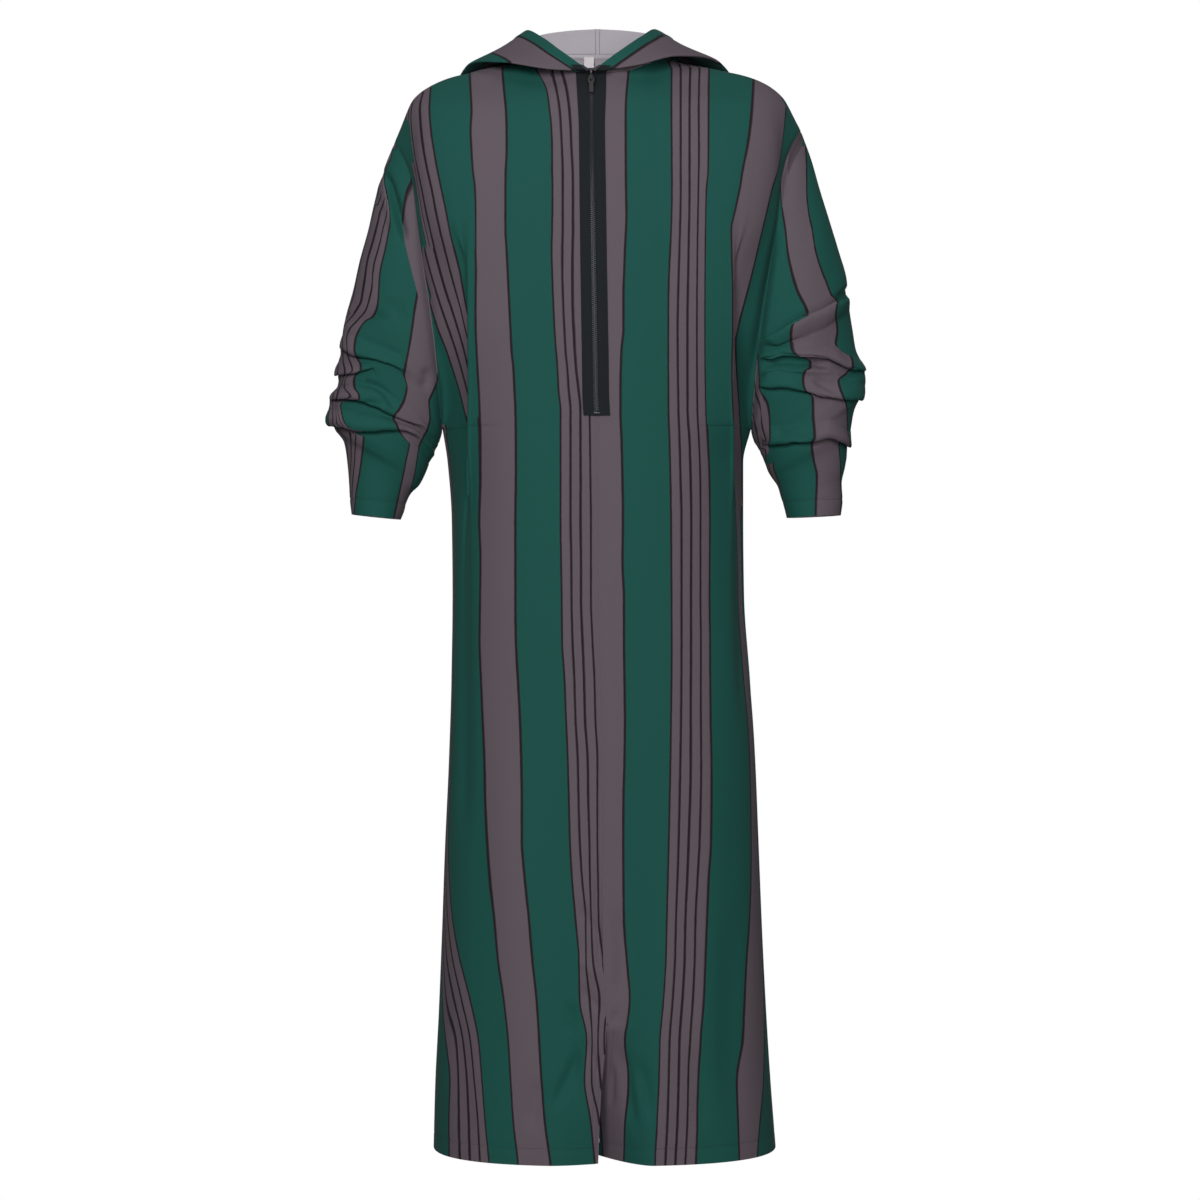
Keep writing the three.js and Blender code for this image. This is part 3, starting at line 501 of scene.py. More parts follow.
# ------------------------------------------------------------------ folds put in one by one
def crease(P, N, points, depth, width, taper=0.25, front=True, side=0.0, limit=None):
    """A soft trough (depth above 0) or ridge along a line given in the view, fading at its ends.
    side above 0 makes it steeper on one flank."""
    X, Y = seen(P)
    q = np.array(points, float)
    # Smooth the line.
    t = np.linspace(0, len(q) - 1, (len(q) - 1) * 6 + 1)
    q = catmull(q, t)
    best = np.full(X.shape, 1e9)
    where = np.zeros(X.shape)
    signed = np.zeros(X.shape)
    seg = np.linalg.norm(np.diff(q, axis=0), axis=1)
    total = seg.sum()
    run = 0.0
    lo, hi = q.min(0) - width * 3 / PX, q.max(0) + width * 3 / PX
    box = (X > lo[0]) & (X < hi[0]) & (Y > lo[1]) & (Y < hi[1])
    if front:
        box &= N[..., 1] < 0.15
    if limit is not None:
        box &= limit
    if not box.any():
        return P
    xs, ys = X[box], Y[box]
    b, wv, sg = best[box], where[box], signed[box]
    for k in range(len(q) - 1):
        d = q[k + 1] - q[k]
        L2 = (d**2).sum()
        t = np.clip(((xs - q[k, 0]) * d[0] + (ys - q[k, 1]) * d[1]) / L2, 0, 1)
        ex, ey = xs - (q[k, 0] + t * d[0]), ys - (q[k, 1] + t * d[1])
        dist = np.hypot(ex, ey) * PX
        near = dist < b
        b = np.where(near, dist, b)
        wv = np.where(near, (run + t * seg[k]) / total, wv)
        sg = np.where(near, (d[0] * ey - d[1] * ex) / seg[k] * PX, sg)
        run += seg[k]
    f = np.exp(-((b / width) ** 2))
    if side:
        f = np.exp(-((b / np.where(sg * side > 0, width * (1 - 0.6 * abs(side)), width * (1 + 0.5 * abs(side)))) ** 2))
    fade = ease(np.minimum(wv, 1 - wv) / taper) if taper else 1.0
    out = P.copy()
    out[box] -= N[box] * (depth * f * fade)[:, None]
    return out


def groove(P, N, along, depth=0.8, width=1.8, beside=0.0):
    """A seam pressed into the cloth where along, a distance in mm, is 0, or just beside that edge."""
    return P - N * (depth * np.exp(-(((along - beside) / width) ** 2)))[..., None]


def armhole_dip(side, angle):
    """How deep the cloth sinks in front at the armhole, by the angle round its ring."""
    a = np.clip(angle, 0, np.pi)
    return np.minimum(9.0, 16 * np.sin(a)) * ease((a - 0.9) / 0.7) * (1.0 if side == "left" else 0.5)


# ------------------------------------------------------------------ finishes
def linear(r, g, b):
    return tuple((v / 12.92 if v <= 0.04045 else ((v + 0.055) / 1.055) ** 2.4) for v in (r / 255, g / 255, b / 255)) + (1.0,)


class Nodes:
    """Small helper to wire a material."""

    def __init__(self, name):
        self.mat = bpy.data.materials.new(name)
        self.mat.use_nodes = True
        self.tree = self.mat.node_tree
        self.bsdf = next(n for n in self.tree.nodes if n.type == "BSDF_PRINCIPLED")
        self.out = next(n for n in self.tree.nodes if n.type == "OUTPUT_MATERIAL")

    def add(self, kind, inputs=None, **props):
        n = self.tree.nodes.new(kind)
        for k, v in props.items():
            setattr(n, k, v)
        for k, v in (inputs or {}).items():
            self.set(n.inputs[k], v)
        return n

    def set(self, socket, v):
        if isinstance(v, bpy.types.NodeSocket):
            self.tree.links.new(v, socket)
        else:
            socket.default_value = v

    def math(self, op, a, b=0.0, c=0.0):
        n = self.tree.nodes.new("ShaderNodeMath")
        n.operation = op
        self.set(n.inputs[0], a)
        self.set(n.inputs[1], b)
        if op in ("MULTIPLY_ADD", "SMOOTH_MIN", "COMPARE"):
            self.set(n.inputs[2], c)
        return n.outputs[0]

    def mix(self, f, a, b, blend="MIX"):
        n = self.tree.nodes.new("ShaderNodeMix")
        n.data_type = "RGBA"
        n.blend_type = blend
        self.set(n.inputs[0], f)
        self.set(n.inputs[6], a)
        self.set(n.inputs[7], b)
        return n.outputs[2]


GREEN = linear(30, 88, 80)
MAUVE = linear(105, 94, 102)
LINE = linear(40, 31, 37)


def stripe_stops():
    """Places from 0 to 1 over one repeat, with their colours."""
    lines = [0, 11.3, 22.6, 33.9, 45.2, 100.2, 141.7, 196.7]
    bands = [MAUVE, MAUVE, MAUVE, MAUVE, GREEN, MAUVE, GREEN]
    half, soft = 1.15, 0.35
    stops = [(0.0, LINE)]
    for k, band in enumerate(bands):
        stops += [(lines[k] + half, LINE), (lines[k] + half + soft, band), (lines[k + 1] - half - soft, band), (lines[k + 1] - half, LINE)]
    return [(p / REPEAT, c) for p, c in stops]


def weave(n, uv, scale=1.0):
    """Fine twill: threads too small to count, with a slight slub."""
    sep = n.add("ShaderNodeSeparateXYZ", {0: uv})
    u, v = sep.outputs[0], sep.outputs[1]
    diag = n.math("MULTIPLY_ADD", v, 0.8, u)
    twill = n.math("SINE", n.math("MULTIPLY", diag, 2 * math.pi / (0.0011 * scale)))
    rib = n.math("SINE", n.math("MULTIPLY", v, 2 * math.pi / (0.0008 * scale)))
    fine = n.math("MULTIPLY", n.math("ADD", twill, n.math("MULTIPLY", rib, 0.6)), 0.3)
    mapped = n.add("ShaderNodeMapping", {"Vector": uv, "Scale": (1800.0, 420.0, 1.0)})
    slub = n.add("ShaderNodeTexNoise", {"Vector": mapped.outputs[0], "Scale": 1.0, "Detail": 2.0, "Roughness": 0.6})
    return u, v, fine, slub.outputs[0]


def striped_cloth(name="striped_cloth"):
    n = Nodes(name)
    uv = n.add("ShaderNodeUVMap", uv_map="cloth").outputs[0]
    u, v, fine, slub = weave(n, uv)
    drift = n.add("ShaderNodeTexNoise", {"Vector": n.add("ShaderNodeMapping", {"Vector": uv, "Scale": (260.0, 90.0, 1.0)}).outputs[0], "Scale": 1.0, "Detail": 2.0})
    w = n.math("MULTIPLY_ADD", n.math("SUBTRACT", drift.outputs[0], 0.5), 0.0006, u)
    place = n.math("FRACT", n.math("DIVIDE", w, REPEAT * MM))
    ramp = n.add("ShaderNodeValToRGB", {0: place})
    stops = stripe_stops()
    cr = ramp.color_ramp
    cr.interpolation = "LINEAR"
    cr.elements[0].position, cr.elements[0].color = stops[0]
    cr.elements[1].position, cr.elements[1].color = stops[-1]
    for p, c in stops[1:-1]:
        e = cr.elements.new(p)
        e.color = c
    # Threads are a little lighter and darker.
    tone = n.math("MULTIPLY_ADD", n.math("SUBTRACT", slub, 0.5), 0.22, 1.0)
    tone = n.math("MULTIPLY_ADD", fine, 0.05, tone)
    col = n.add("ShaderNodeHueSaturation", {"Color": ramp.outputs[0], "Value": tone, "Saturation": 1.0})
    n.set(n.bsdf.inputs["Base Color"], col.outputs[0])
    n.set(n.bsdf.inputs["Roughness"], 0.82)
    n.set(n.bsdf.inputs["Specular IOR Level"], 0.16)
    n.set(n.bsdf.inputs["Sheen Weight"], 0.07)
    n.set(n.bsdf.inputs["Sheen Roughness"], 0.45)
    n.set(n.bsdf.inputs["Sheen Tint"], linear(190, 200, 200))
    height = n.math("ADD", n.math("MULTIPLY", fine, 0.5), slub)
    bump = n.add("ShaderNodeBump", {"Height": height, "Strength": 0.22, "Distance": 0.0004})
    n.set(n.bsdf.inputs["Normal"], bump.outputs[0])
    return n.mat


def wrong_side(name="cloth_wrong_side"):
    n = Nodes(name)
    uv = n.add("ShaderNodeUVMap", uv_map="cloth").outputs[0]
    u, v, fine, slub = weave(n, uv)
    tone = n.math("MULTIPLY_ADD", n.math("SUBTRACT", slub, 0.5), 0.14, 1.0)
    col = n.add("ShaderNodeHueSaturation", {"Color": linear(186, 180, 188), "Value": tone, "Saturation": 1.0})
    n.set(n.bsdf.inputs["Base Color"], col.outputs[0])
    n.set(n.bsdf.inputs["Roughness"], 0.88)
    n.set(n.bsdf.inputs["Specular IOR Level"], 0.2)
    n.set(n.bsdf.inputs["Sheen Weight"], 0.15)
    bump = n.add("ShaderNodeBump", {"Height": n.math("ADD", fine, slub), "Strength": 0.25, "Distance": 0.0004})
    n.set(n.bsdf.inputs["Normal"], bump.outputs[0])
    return n.mat


STRIPED = striped_cloth()
WRONG = wrong_side()
CLOTH = (STRIPED, WRONG)


# ------------------------------------------------------------------ the two fronts
ROWS = np.concatenate([np.linspace(0, 10, 111), np.linspace(10, 20, 166)[1:]])
COLS = np.concatenate([np.linspace(0, 5.5, 60), np.linspace(5.5, 7.5, 40)[1:], np.linspace(7.5, 9, 18)[1:], np.linspace(9, 10, 14)[1:]])
CUT = int(np.argmax(COLS > 6.5))

# Soft troughs and ridges down each front: line in the view, depth in mm, width in mm.
RIGHT_FOLDS = [
    ([(468, 425), (464, 500), (462, 600), (463, 720), (462, 860)], 4.5, 9, 0.2, 0.3),
    ([(575, 903), (590, 924), (603, 942)], 3.6, 5, 0.3, 0.2),
    ([(574, 958), (588, 968), (601, 984)], -2.8, 5, 0.3, 0),
    ([(578, 985), (590, 1000), (604, 1012)], 3.8, 5, 0.3, 0.2),
    ([(583, 1036), (592, 1056), (600, 1078)], 2.8, 5, 0.3, 0),
    ([(582, 1046), (574, 1066), (562, 1090), (553, 1112)], 5.0, 7, 0.3, 0.2),
    ([(566, 1038), (572, 1020), (569, 1003)], 3.2, 7, 0.3, 0),
    ([(540, 1075), (534, 1105), (531, 1135)], 3.4, 9, 0.35, 0),
    ([(600, 858), (597, 900), (600, 945), (598, 985)], 2.6, 4, 0.3, 0),
    ([(560, 1010), (572, 1060), (580, 1120)], 2.0, 9, 0.35, 0),
    ([(545, 620), (548, 800), (556, 980), (560, 1150)], 3.0, 26, 0.3, 0),
    ([(500, 680), (508, 880), (524, 1150)], -2.6, 22, 0.3, 0),
    ([(520, 200), (528, 300), (532, 420)], 1.8, 20, 0.35, 0),
    ([(455, 1000), (462, 1080), (470, 1160)], 2.4, 14, 0.3, 0),
]
LEFT_FOLDS = [
    ([(741, 440), (740, 520), (741, 620), (744, 740)], 3.5, 8, 0.25, 0.2),
    ([(650, 700), (652, 900), (645, 1080), (642, 1165)], 2.6, 22, 0.3, 0),
    ([(700, 640), (708, 860), (703, 1155)], -2.6, 20, 0.3, 0),
    ([(672, 190), (666, 300), (664, 420)], 1.8, 20, 0.35, 0),
    ([(735, 900), (730, 1040), (735, 1150)], 2.6, 16, 0.3, 0),
    ([(612, 900), (622, 950), (618, 1010)], 3.0, 8, 0.3, 0),
    ([(619, 1011), (612, 1023)], 3.0, 3.5, 0.3, 0),
    ([(615, 1042), (624, 1066), (630, 1104), (636, 1138)], 4.2, 6, 0.3, 0.2),
    ([(612.5, 1062), (612, 1084), (610.5, 1110)], 3.0, 4, 0.3, 0),
    ([(634, 1050), (646, 1090), (652, 1130)], 3.6, 9, 0.35, 0),
    ([(690, 1040), (700, 1090), (702, 1140)], 3.4, 12, 0.35, 0),
    ([(616, 1030), (628, 1070), (622, 1130)], 1.6, 9, 0.3, 0),
]


def front(side):
    sign = -1 if side == "right" else 1
    P = body_quarter(side, -1, ROWS, COLS)
    flip = side == "right"
    lines, wing = (RIGHT_LINES, RIGHT_WING) if side == "right" else (LEFT_LINES, LEFT_WING)
    W = across(P, lines, rising=sign)
    # Round at the side, where it turns out of sight, the stripes of the skirt run on evenly.
    low = P[:, -1, 2] < -446
    gap = arc(P, 1)
    gap = (gap[:, -1:] - gap)[low]
    kernel = np.exp(-0.5 * (np.arange(-50, 51) / 16.0) ** 2)
    kernel /= kernel.sum()
    even = np.stack([np.convolve(np.pad(W[low][:, c], 50, mode="edge"), kernel, "valid") for c in range(W.shape[1])], 1)
    W[low] = lerp(W[low], even, ease((95 - gap) / 40))
    W2 = W.copy()
    W2[:, CUT:] = across(P[:, CUT:], wing, rising=sign)
    X, Y = seen(P)
    yc = Y[:-1, :-1]
    second = (np.arange(P.shape[1] - 1)[None, :] >= CUT) & (yc > 244) & (yc < (424 if side == "right" else 505))
    if side == "right":
        # The dropped shoulder of the back comes over to the front in green.
        cap = (X[:-1, :-1] < pchip([98, 114, 118, 124, 130, 140, 153, 162], [397, 402.5, 408.5, 410, 410.6, 411.4, 413.0, 414.5], yc)) & (yc > 98) & (yc < 160)
        second = second | cap
        W2 = np.where(Y < 163, -25.0, W2)
    L = arc(P, 0)
    N = normals_of(P, flip=flip)
    S = arc(P, 1)
    to_side = S[:, -1:] - S
    plain = P
    for line, depth, width, taper, lean in (RIGHT_FOLDS if side == "right" else LEFT_FOLDS):
        P = crease(P, N, line, depth, width, taper, side=lean)
    # Edges that meet another piece stay where they are.
    P = plain + (P - plain) * (ease(to_side / 12) * np.maximum(ease(S / 4), P[..., 2] < SLIT_TOP_Z))[..., None]
    N = normals_of(P, flip=flip)
    S = arc(P, 1)
    to_side = S[:, -1:] - S
    to_hem = L[-1:] - L
    P = groove(P, N, to_side, 0.9, 1.1, 1.7)
    P = groove(P, N, L, 0.8, 1.1, 1.7)
    dip = np.where(ROWS <= 10, armhole_dip(side, np.pi * ROWS / 10), 0.0)
    P[..., 1] += dip[:, None] * np.exp(-((to_side / 8.0) ** 2))
    P = groove(P, N, to_hem - 19.5, 0.5, 1.2)
    below = Y > 415
    P = np.where(below[..., None], groove(P, N, S, 1.0, 1.2, 1.5), P)
    T = np.full(P.shape[:2], 0.9)
    T += 0.9 * (to_hem < 19.5)
    T += 0.8 * ((S < 12) & (P[..., 2] < SLIT_TOP_Z + 20) & (to_hem >= 19.5))
    ob = cloth("front_%s_cloth" % side, P, W, L, CLOTH, flip=flip, thick=T, W2=W2, second=second)
    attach(ob, "garment")
    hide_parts("front_" + side)
    return ob, P


front_right, GRID_RIGHT = front("right")
front_left, GRID_LEFT = front("left")


# ------------------------------------------------------------------ the back
BACK_COLS = np.concatenate([np.linspace(0, 8, 64), np.linspace(8, 9, 9)[1:], np.linspace(9, 10, 10)[1:]])
BACK_ROWS = np.concatenate([np.linspace(0, 10, 81), np.linspace(10, 20, 131)[1:]])


def back():
    a = body_quarter("right", 1, BACK_ROWS, BACK_COLS)
    b = body_quarter("left", 1, BACK_ROWS, BACK_COLS)
    P = np.concatenate([a[:, ::-1], b[:, 1:]], 1)
    mid = a.shape[1] - 1
    S = arc(P, 1)
    W = 120.95 + (S - S[:, mid:mid + 1])
    L = arc(P, 0)
    N = normals_of(P, flip=True)
    T = np.full(P.shape[:2], 0.9)
    to_hem = L[-1:] - L
    T += 0.9 * (to_hem < 19.5)
    hang = ease((-P[..., 2] - 420) / 800)[..., None]
    P = P + N * hang * (3.0 * np.sin(S / 27.0 + 0.6 + L / 900.0) + 1.8 * np.sin(S / 16.5 + 2.0 - L / 700.0))[..., None] * np.minimum(1, np.minimum(S, S[:, -1:] - S) / 40)[..., None]
    P = groove(P, N, S, 0.9, 1.1, 1.7)
    P = groove(P, N, S[:, -1:] - S, 0.9, 1.1, 1.7)
    P = groove(P, N, L, 0.8, 1.1, 1.7)
    P = groove(P, N, to_hem - 19.5, 0.5, 1.2)
    ob = cloth("back_cloth", P, W, L, CLOTH, flip=True, thick=T)
    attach(ob, "garment")
    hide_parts("back")
    return ob, P


back_piece, GRID_BACK = back()


# ------------------------------------------------------------------ sleeves
SLEEVE = {
    "right": table("xo zo xi zi front back bow", [
        (-244, -97, -186, -441, 54, 56, 12), (-257, -130, -187, -446, 58, 60, 8), (-267, -166, -188, -450, 60, 62, 4),
        (-275, -202, -189, -453, 60, 63, 0), (-285, -238, -190, -456, 59, 63, 0), (-293, -274, -192, -459, 57, 62, 0),
        (-304, -314, -193, -462, 55, 61, 0), (-307, -336, -194, -464, 54, 61, 0), (-309, -352, -195, -467, 54, 60, 0),
        (-313, -372, -197, -471, 53, 60, 0), (-311, -386, -199, -475, 53, 60, 0), (-321, -405, -202, -482, 52, 60, 0),
        (-323, -424, -205, -490, 51, 58, 0), (-316, -440, -209, -499, 47, 54, 0), (-304, -457, -214, -508, 40, 48, 0),
        (-300, -482, -224, -518, 37, 43, 0), (-298, -506, -229, -528, 36, 38, 0), (-297, -526, -232, -539, 35, 36, 0),
        (-295, -543, -236, -549, 35, 36, 0)]),
    "left": table("xo zo xi zi front back bow", [
        (244, -82, 184, -441, 54, 56, -12), (257, -118, 185, -446, 58, 60, -8), (267, -154, 186, -450, 60, 62, -4),
        (278, -190, 187, -453, 60, 63, 0), (289, -226, 188, -456, 59, 63, 0), (299, -262, 190, -459, 57, 62, 0),
        (302, -296, 192, -462, 55, 61, 0), (306, -322, 193, -464, 54, 61, 0), (310, -346, 195, -467, 54, 61, 0),
        (315, -357, 196, -470, 53, 60, 0), (322, -378, 198, -474, 53, 60, 0), (319, -398, 200, -479, 52, 60, 0),
        (308, -418, 202, -484, 51, 58, 0), (304, -440, 205, -492, 48, 55, 0), (301, -462, 210, -500, 41, 50, 0),
        (297, -486, 216, -509, 38, 44, 0), (293, -506, 220, -522, 36, 38, 0), (294, -526, 224, -535, 35, 36, 0),
        (292, -544, 227, -547, 35, 36, 0)])}

# Rolls where the sleeve is pushed up. line: the visible edge in the view, from the outside in;
# lay 1 where the upper cloth hangs over, -1 where the lower cloth lies over; tuck: how deep it folds, rise: how far it stands out;
# ends: how strong it is at the outside, and where across the view it dies out.
ROLLS = {
    "right": [
        dict(line=[(338, 348), (344, 349.6), (355.6, 356), (374.7, 363), (391, 371), (406, 384.5), (436, 402)], lay=1, tuck=14, rise=9, out=0.15, dies=(396, 420), back=0.7),
        dict(line=[(330, 376), (340, 375.5), (353, 374.5), (368, 371), (376, 368.5), (440, 410)], lay=1, tuck=8, rise=6, out=0.5, dies=(364, 384), back=0.8),
        dict(line=[(330, 400), (338, 400.5), (360, 401), (375, 406), (393, 417.6), (411, 429), (429, 449), (440, 455)], lay=1, tuck=14, rise=9, out=0.12, dies=(426, 438), back=0.8),
        dict(line=[(336, 424), (345, 426), (360, 431), (386, 431.7), (399.6, 434), (413, 439), (429, 451), (440, 458)], lay=1, tuck=17, rise=11, out=0.45, dies=(426, 438), back=0.9),
    ],
    "left": [
        dict(line=[(860, 294), (836, 301.7), (821, 310), (808, 315), (791, 323.8), (774.7, 332.4), (759, 339.9), (750, 344)], lay=-1, tuck=15, rise=8, out=0.12, dies=(770, 756), back=0.4),
        dict(line=[(866, 372), (849, 370), (826, 359.5), (806, 356.5), (791, 356.5), (774.7, 359), (763, 362), (755, 368)], lay=1, tuck=12, rise=8, out=0.25, dies=(766, 752), back=0.7),
        dict(line=[(872, 399), (843, 399.6), (823, 397), (806, 392), (793, 388.8), (783, 387), (770, 388), (760, 389.6), (748, 393)], lay=1, tuck=10, rise=8, out=0.35, dies=(766, 752), back=0.9),
        dict(line=[(862, 449), (846, 446.8), (839.4, 441.9), (826, 437.7), (812.9, 441), (789.7, 443), (771, 444), (756, 446)], lay=1, tuck=13, rise=10, out=0.3, dies=(778, 762), back=0.9),
    ]}

SLEEVE_LINES = {
    "right": [
        (C[1], [205, 212.7, 231.9, 254.8, 278.8, 297, 314, 327, 339, 360, 378, 400, 423, 440, 480, 520], [375.5, 372.8, 368, 362.2, 356.5, 353, 346, 339, 338, 338, 337, 333, 333, 346, 349, 350]),
        (C[2], [199, 203.2, 210.8, 222.3, 233.8, 244.3, 256.7, 266.3, 277.8, 290, 301, 314, 327, 339, 360, 372, 400, 423, 433, 454, 480, 520], [384.5, 383.3, 380.4, 378, 375.1, 372.3, 368.4, 366.5, 365.1, 363.2, 361.4, 354, 344, 342.5, 343, 345, 336, 336.5, 350.7, 351.3, 350, 351]),
        (C[3], [209, 214.6, 222.3, 231.9, 243.3, 254.8, 263.4, 274, 285, 297.5, 310.7, 320.6, 329, 339, 353.6, 370, 378, 386.7, 396.6, 403, 423, 431, 454, 487, 520], [387.2, 386.6, 384.7, 382.3, 379.9, 376.6, 374.2, 372.8, 372.2, 369.7, 365.5, 357.3, 349.8, 346.5, 347.4, 352.3, 345, 344, 350.7, 337, 340.8, 355.6, 354.8, 352.3, 351]),
        (C[4], [150, 158, 169, 178.3, 185, 197.4, 212.7, 221.3, 230.9, 244.3, 258.7, 267.3, 275.9, 290, 302, 316.5, 320.6, 327, 339, 350, 358.6, 364, 370, 373.5, 380, 388, 395, 399, 403, 418, 428, 432, 446, 471, 495.6, 512], [392, 391, 385.8, 384.2, 384.7, 387.1, 389.5, 390, 388.5, 386.1, 382.8, 380.9, 379.6, 378.8, 378, 373, 365.5, 360.6, 355.6, 354.3, 357.3, 360.4, 360.6, 356.4, 354, 354.8, 359, 359.3, 340, 342.4, 349, 363.9, 363, 359.8, 355.6, 354]),
        (B[0], [156, 174, 181, 192, 204, 215, 224, 230, 248, 265, 278, 290, 306, 330, 350, 363.5, 375, 386.7, 398, 408, 418, 424.6, 434.5, 440, 462.6, 479, 500.6, 519.6], [410, 411.2, 410.6, 406, 403.7, 402.5, 401.6, 402.8, 408.3, 414, 417.5, 417.6, 415, 411.8, 408.5, 406, 404.3, 407, 405, 400.2, 393.6, 396.9, 401, 410, 406, 402.7, 397.7, 393.6]),
        (B[1], [340, 380, 395, 401.5, 418, 429.6, 437, 449, 471, 482, 495.6, 517], [445, 438, 431.6, 429, 430, 427.4, 423.3, 418.4, 415, 412.6, 408.5, 402.7]),
    ],
    "left": [
        (C[2], [365, 400, 420, 440], [750, 753, 754, 758]),
        (C[3], [365, 388, 407, 422, 440], [754.8, 755, 760.6, 761.5, 766]),
        (C[4], [250, 310, 345, 370.5, 389, 404, 422, 440, 447, 463, 520], [752, 754, 757, 759, 759.8, 768, 769.8, 769.8, 767, 765, 780]),
        (B[0], [130, 150, 170, 190, 210, 230, 250, 270, 290, 315, 323, 336, 347, 356.5, 359, 368, 370.5, 380.5, 390.5, 395.4, 413.7, 437, 444, 460, 476.7, 501.6, 521], [786, 784, 781, 781, 782.5, 785.5, 787.5, 791.5, 797.5, 807.9, 793, 790.5, 791.3, 798, 810.4, 810.4, 805.4, 803, 805.4, 812.9, 812.9, 814.5, 812, 813.7, 817, 816, 815.4]),
        (B[1], [130, 150, 170, 190, 210, 230, 250, 270, 281, 297, 301, 314, 331, 344, 349, 353, 355.6, 365.6, 374, 380.5, 395, 407, 430, 445, 480, 520], [803, 806, 807, 807, 808.5, 812.5, 815.5, 821.5, 826, 832.8, 837.7, 836, 837.7, 836, 837.7, 836, 851, 853.5, 846, 838.6, 842.7, 846.9, 847.7, 850, 849, 849]),
    ]}
# Soft troughs (depth above 0) and ridges: line in the view, depth, width, taper, lean.
SLEEVE_CREASES = {
    "right": [
        ([(342, 326), (366, 320), (393, 315)], 4.0, 7, 0.3, 0.3),
        ([(356, 340), (380, 350), (405, 356)], 2.5, 6, 0.3, 0.0),
        ([(356, 383), (372, 385), (384, 394), (398, 411)], 4.0, 4.5, 0.2, 0.3),
        ([(362, 402), (376, 403), (388, 405)], 3.0, 4.5, 0.3, 0),
        ([(364, 393), (378, 394), (388, 402)], -2.0, 5.0, 0.3, 0),
        ([(382.5, 168), (390.5, 191), (396.5, 209), (400.5, 225), (406, 246)], 9.0, 4.8, 0.22, 0.3),
        ([(379, 180), (385, 199), (390, 216), (396, 238)], -2.5, 4.5, 0.3, 0),
        ([(424, 366), (427, 378), (423, 392)], 4.0, 7, 0.35, 0),
        ([(378, 300), (398, 312), (410, 330)], 2.0, 9, 0.35, 0),
    ],
    "left": [
        ([(852, 288), (842, 296), (836, 304)], 4.0, 5, 0.3, 0),
        ([(788, 349), (806, 351), (822, 349), (838, 350)], 3.0, 4.5, 0.25, 0.2),
        ([(770, 429), (783, 434), (798, 437), (814, 437)], 3.5, 5, 0.25, 0.3),
        ([(758, 365), (772, 361.5), (792, 361), (812, 362), (832, 364)], 6.0, 5.5, 0.2, 0),
        ([(756, 372), (790, 371), (836, 371)], -3.0, 4, 0.15, 0),
        ([(804, 358), (820, 365), (832, 367)], 3.0, 5, 0.3, 0),
        ([(796, 381), (812, 389), (832, 398)], 3.5, 4.5, 0.3, 0),
        ([(812, 378), (826, 386), (842, 393)], 3.5, 5, 0.3, 0),
        ([(838, 378), (850, 374), (862, 368)], 3.0, 5, 0.3, 0),
        ([(764, 344), (776, 352), (790, 356)], 2.5, 5, 0.3, 0),
        ([(800, 150), (790, 165), (784, 200), (778, 250)], 3.0, 8, 0.3, 0),
    ]}
ANGLES = np.concatenate([np.linspace(-np.pi, 0, 45), np.linspace(0, np.pi, 105)[1:]])
FOLD_ROWS = 32


def sleeve_base(side, T, a):
    """Points at rows T (0 armhole to 18 cuff) and one angle a, or arrays of the same length."""
    s = {k: pchip(np.arange(19), [r[k] for r in SLEEVE[side]], T) for k in SLEEVE[side][0]}
    return ring_point(s, a, 9 * (1 - ease(T / 3)))


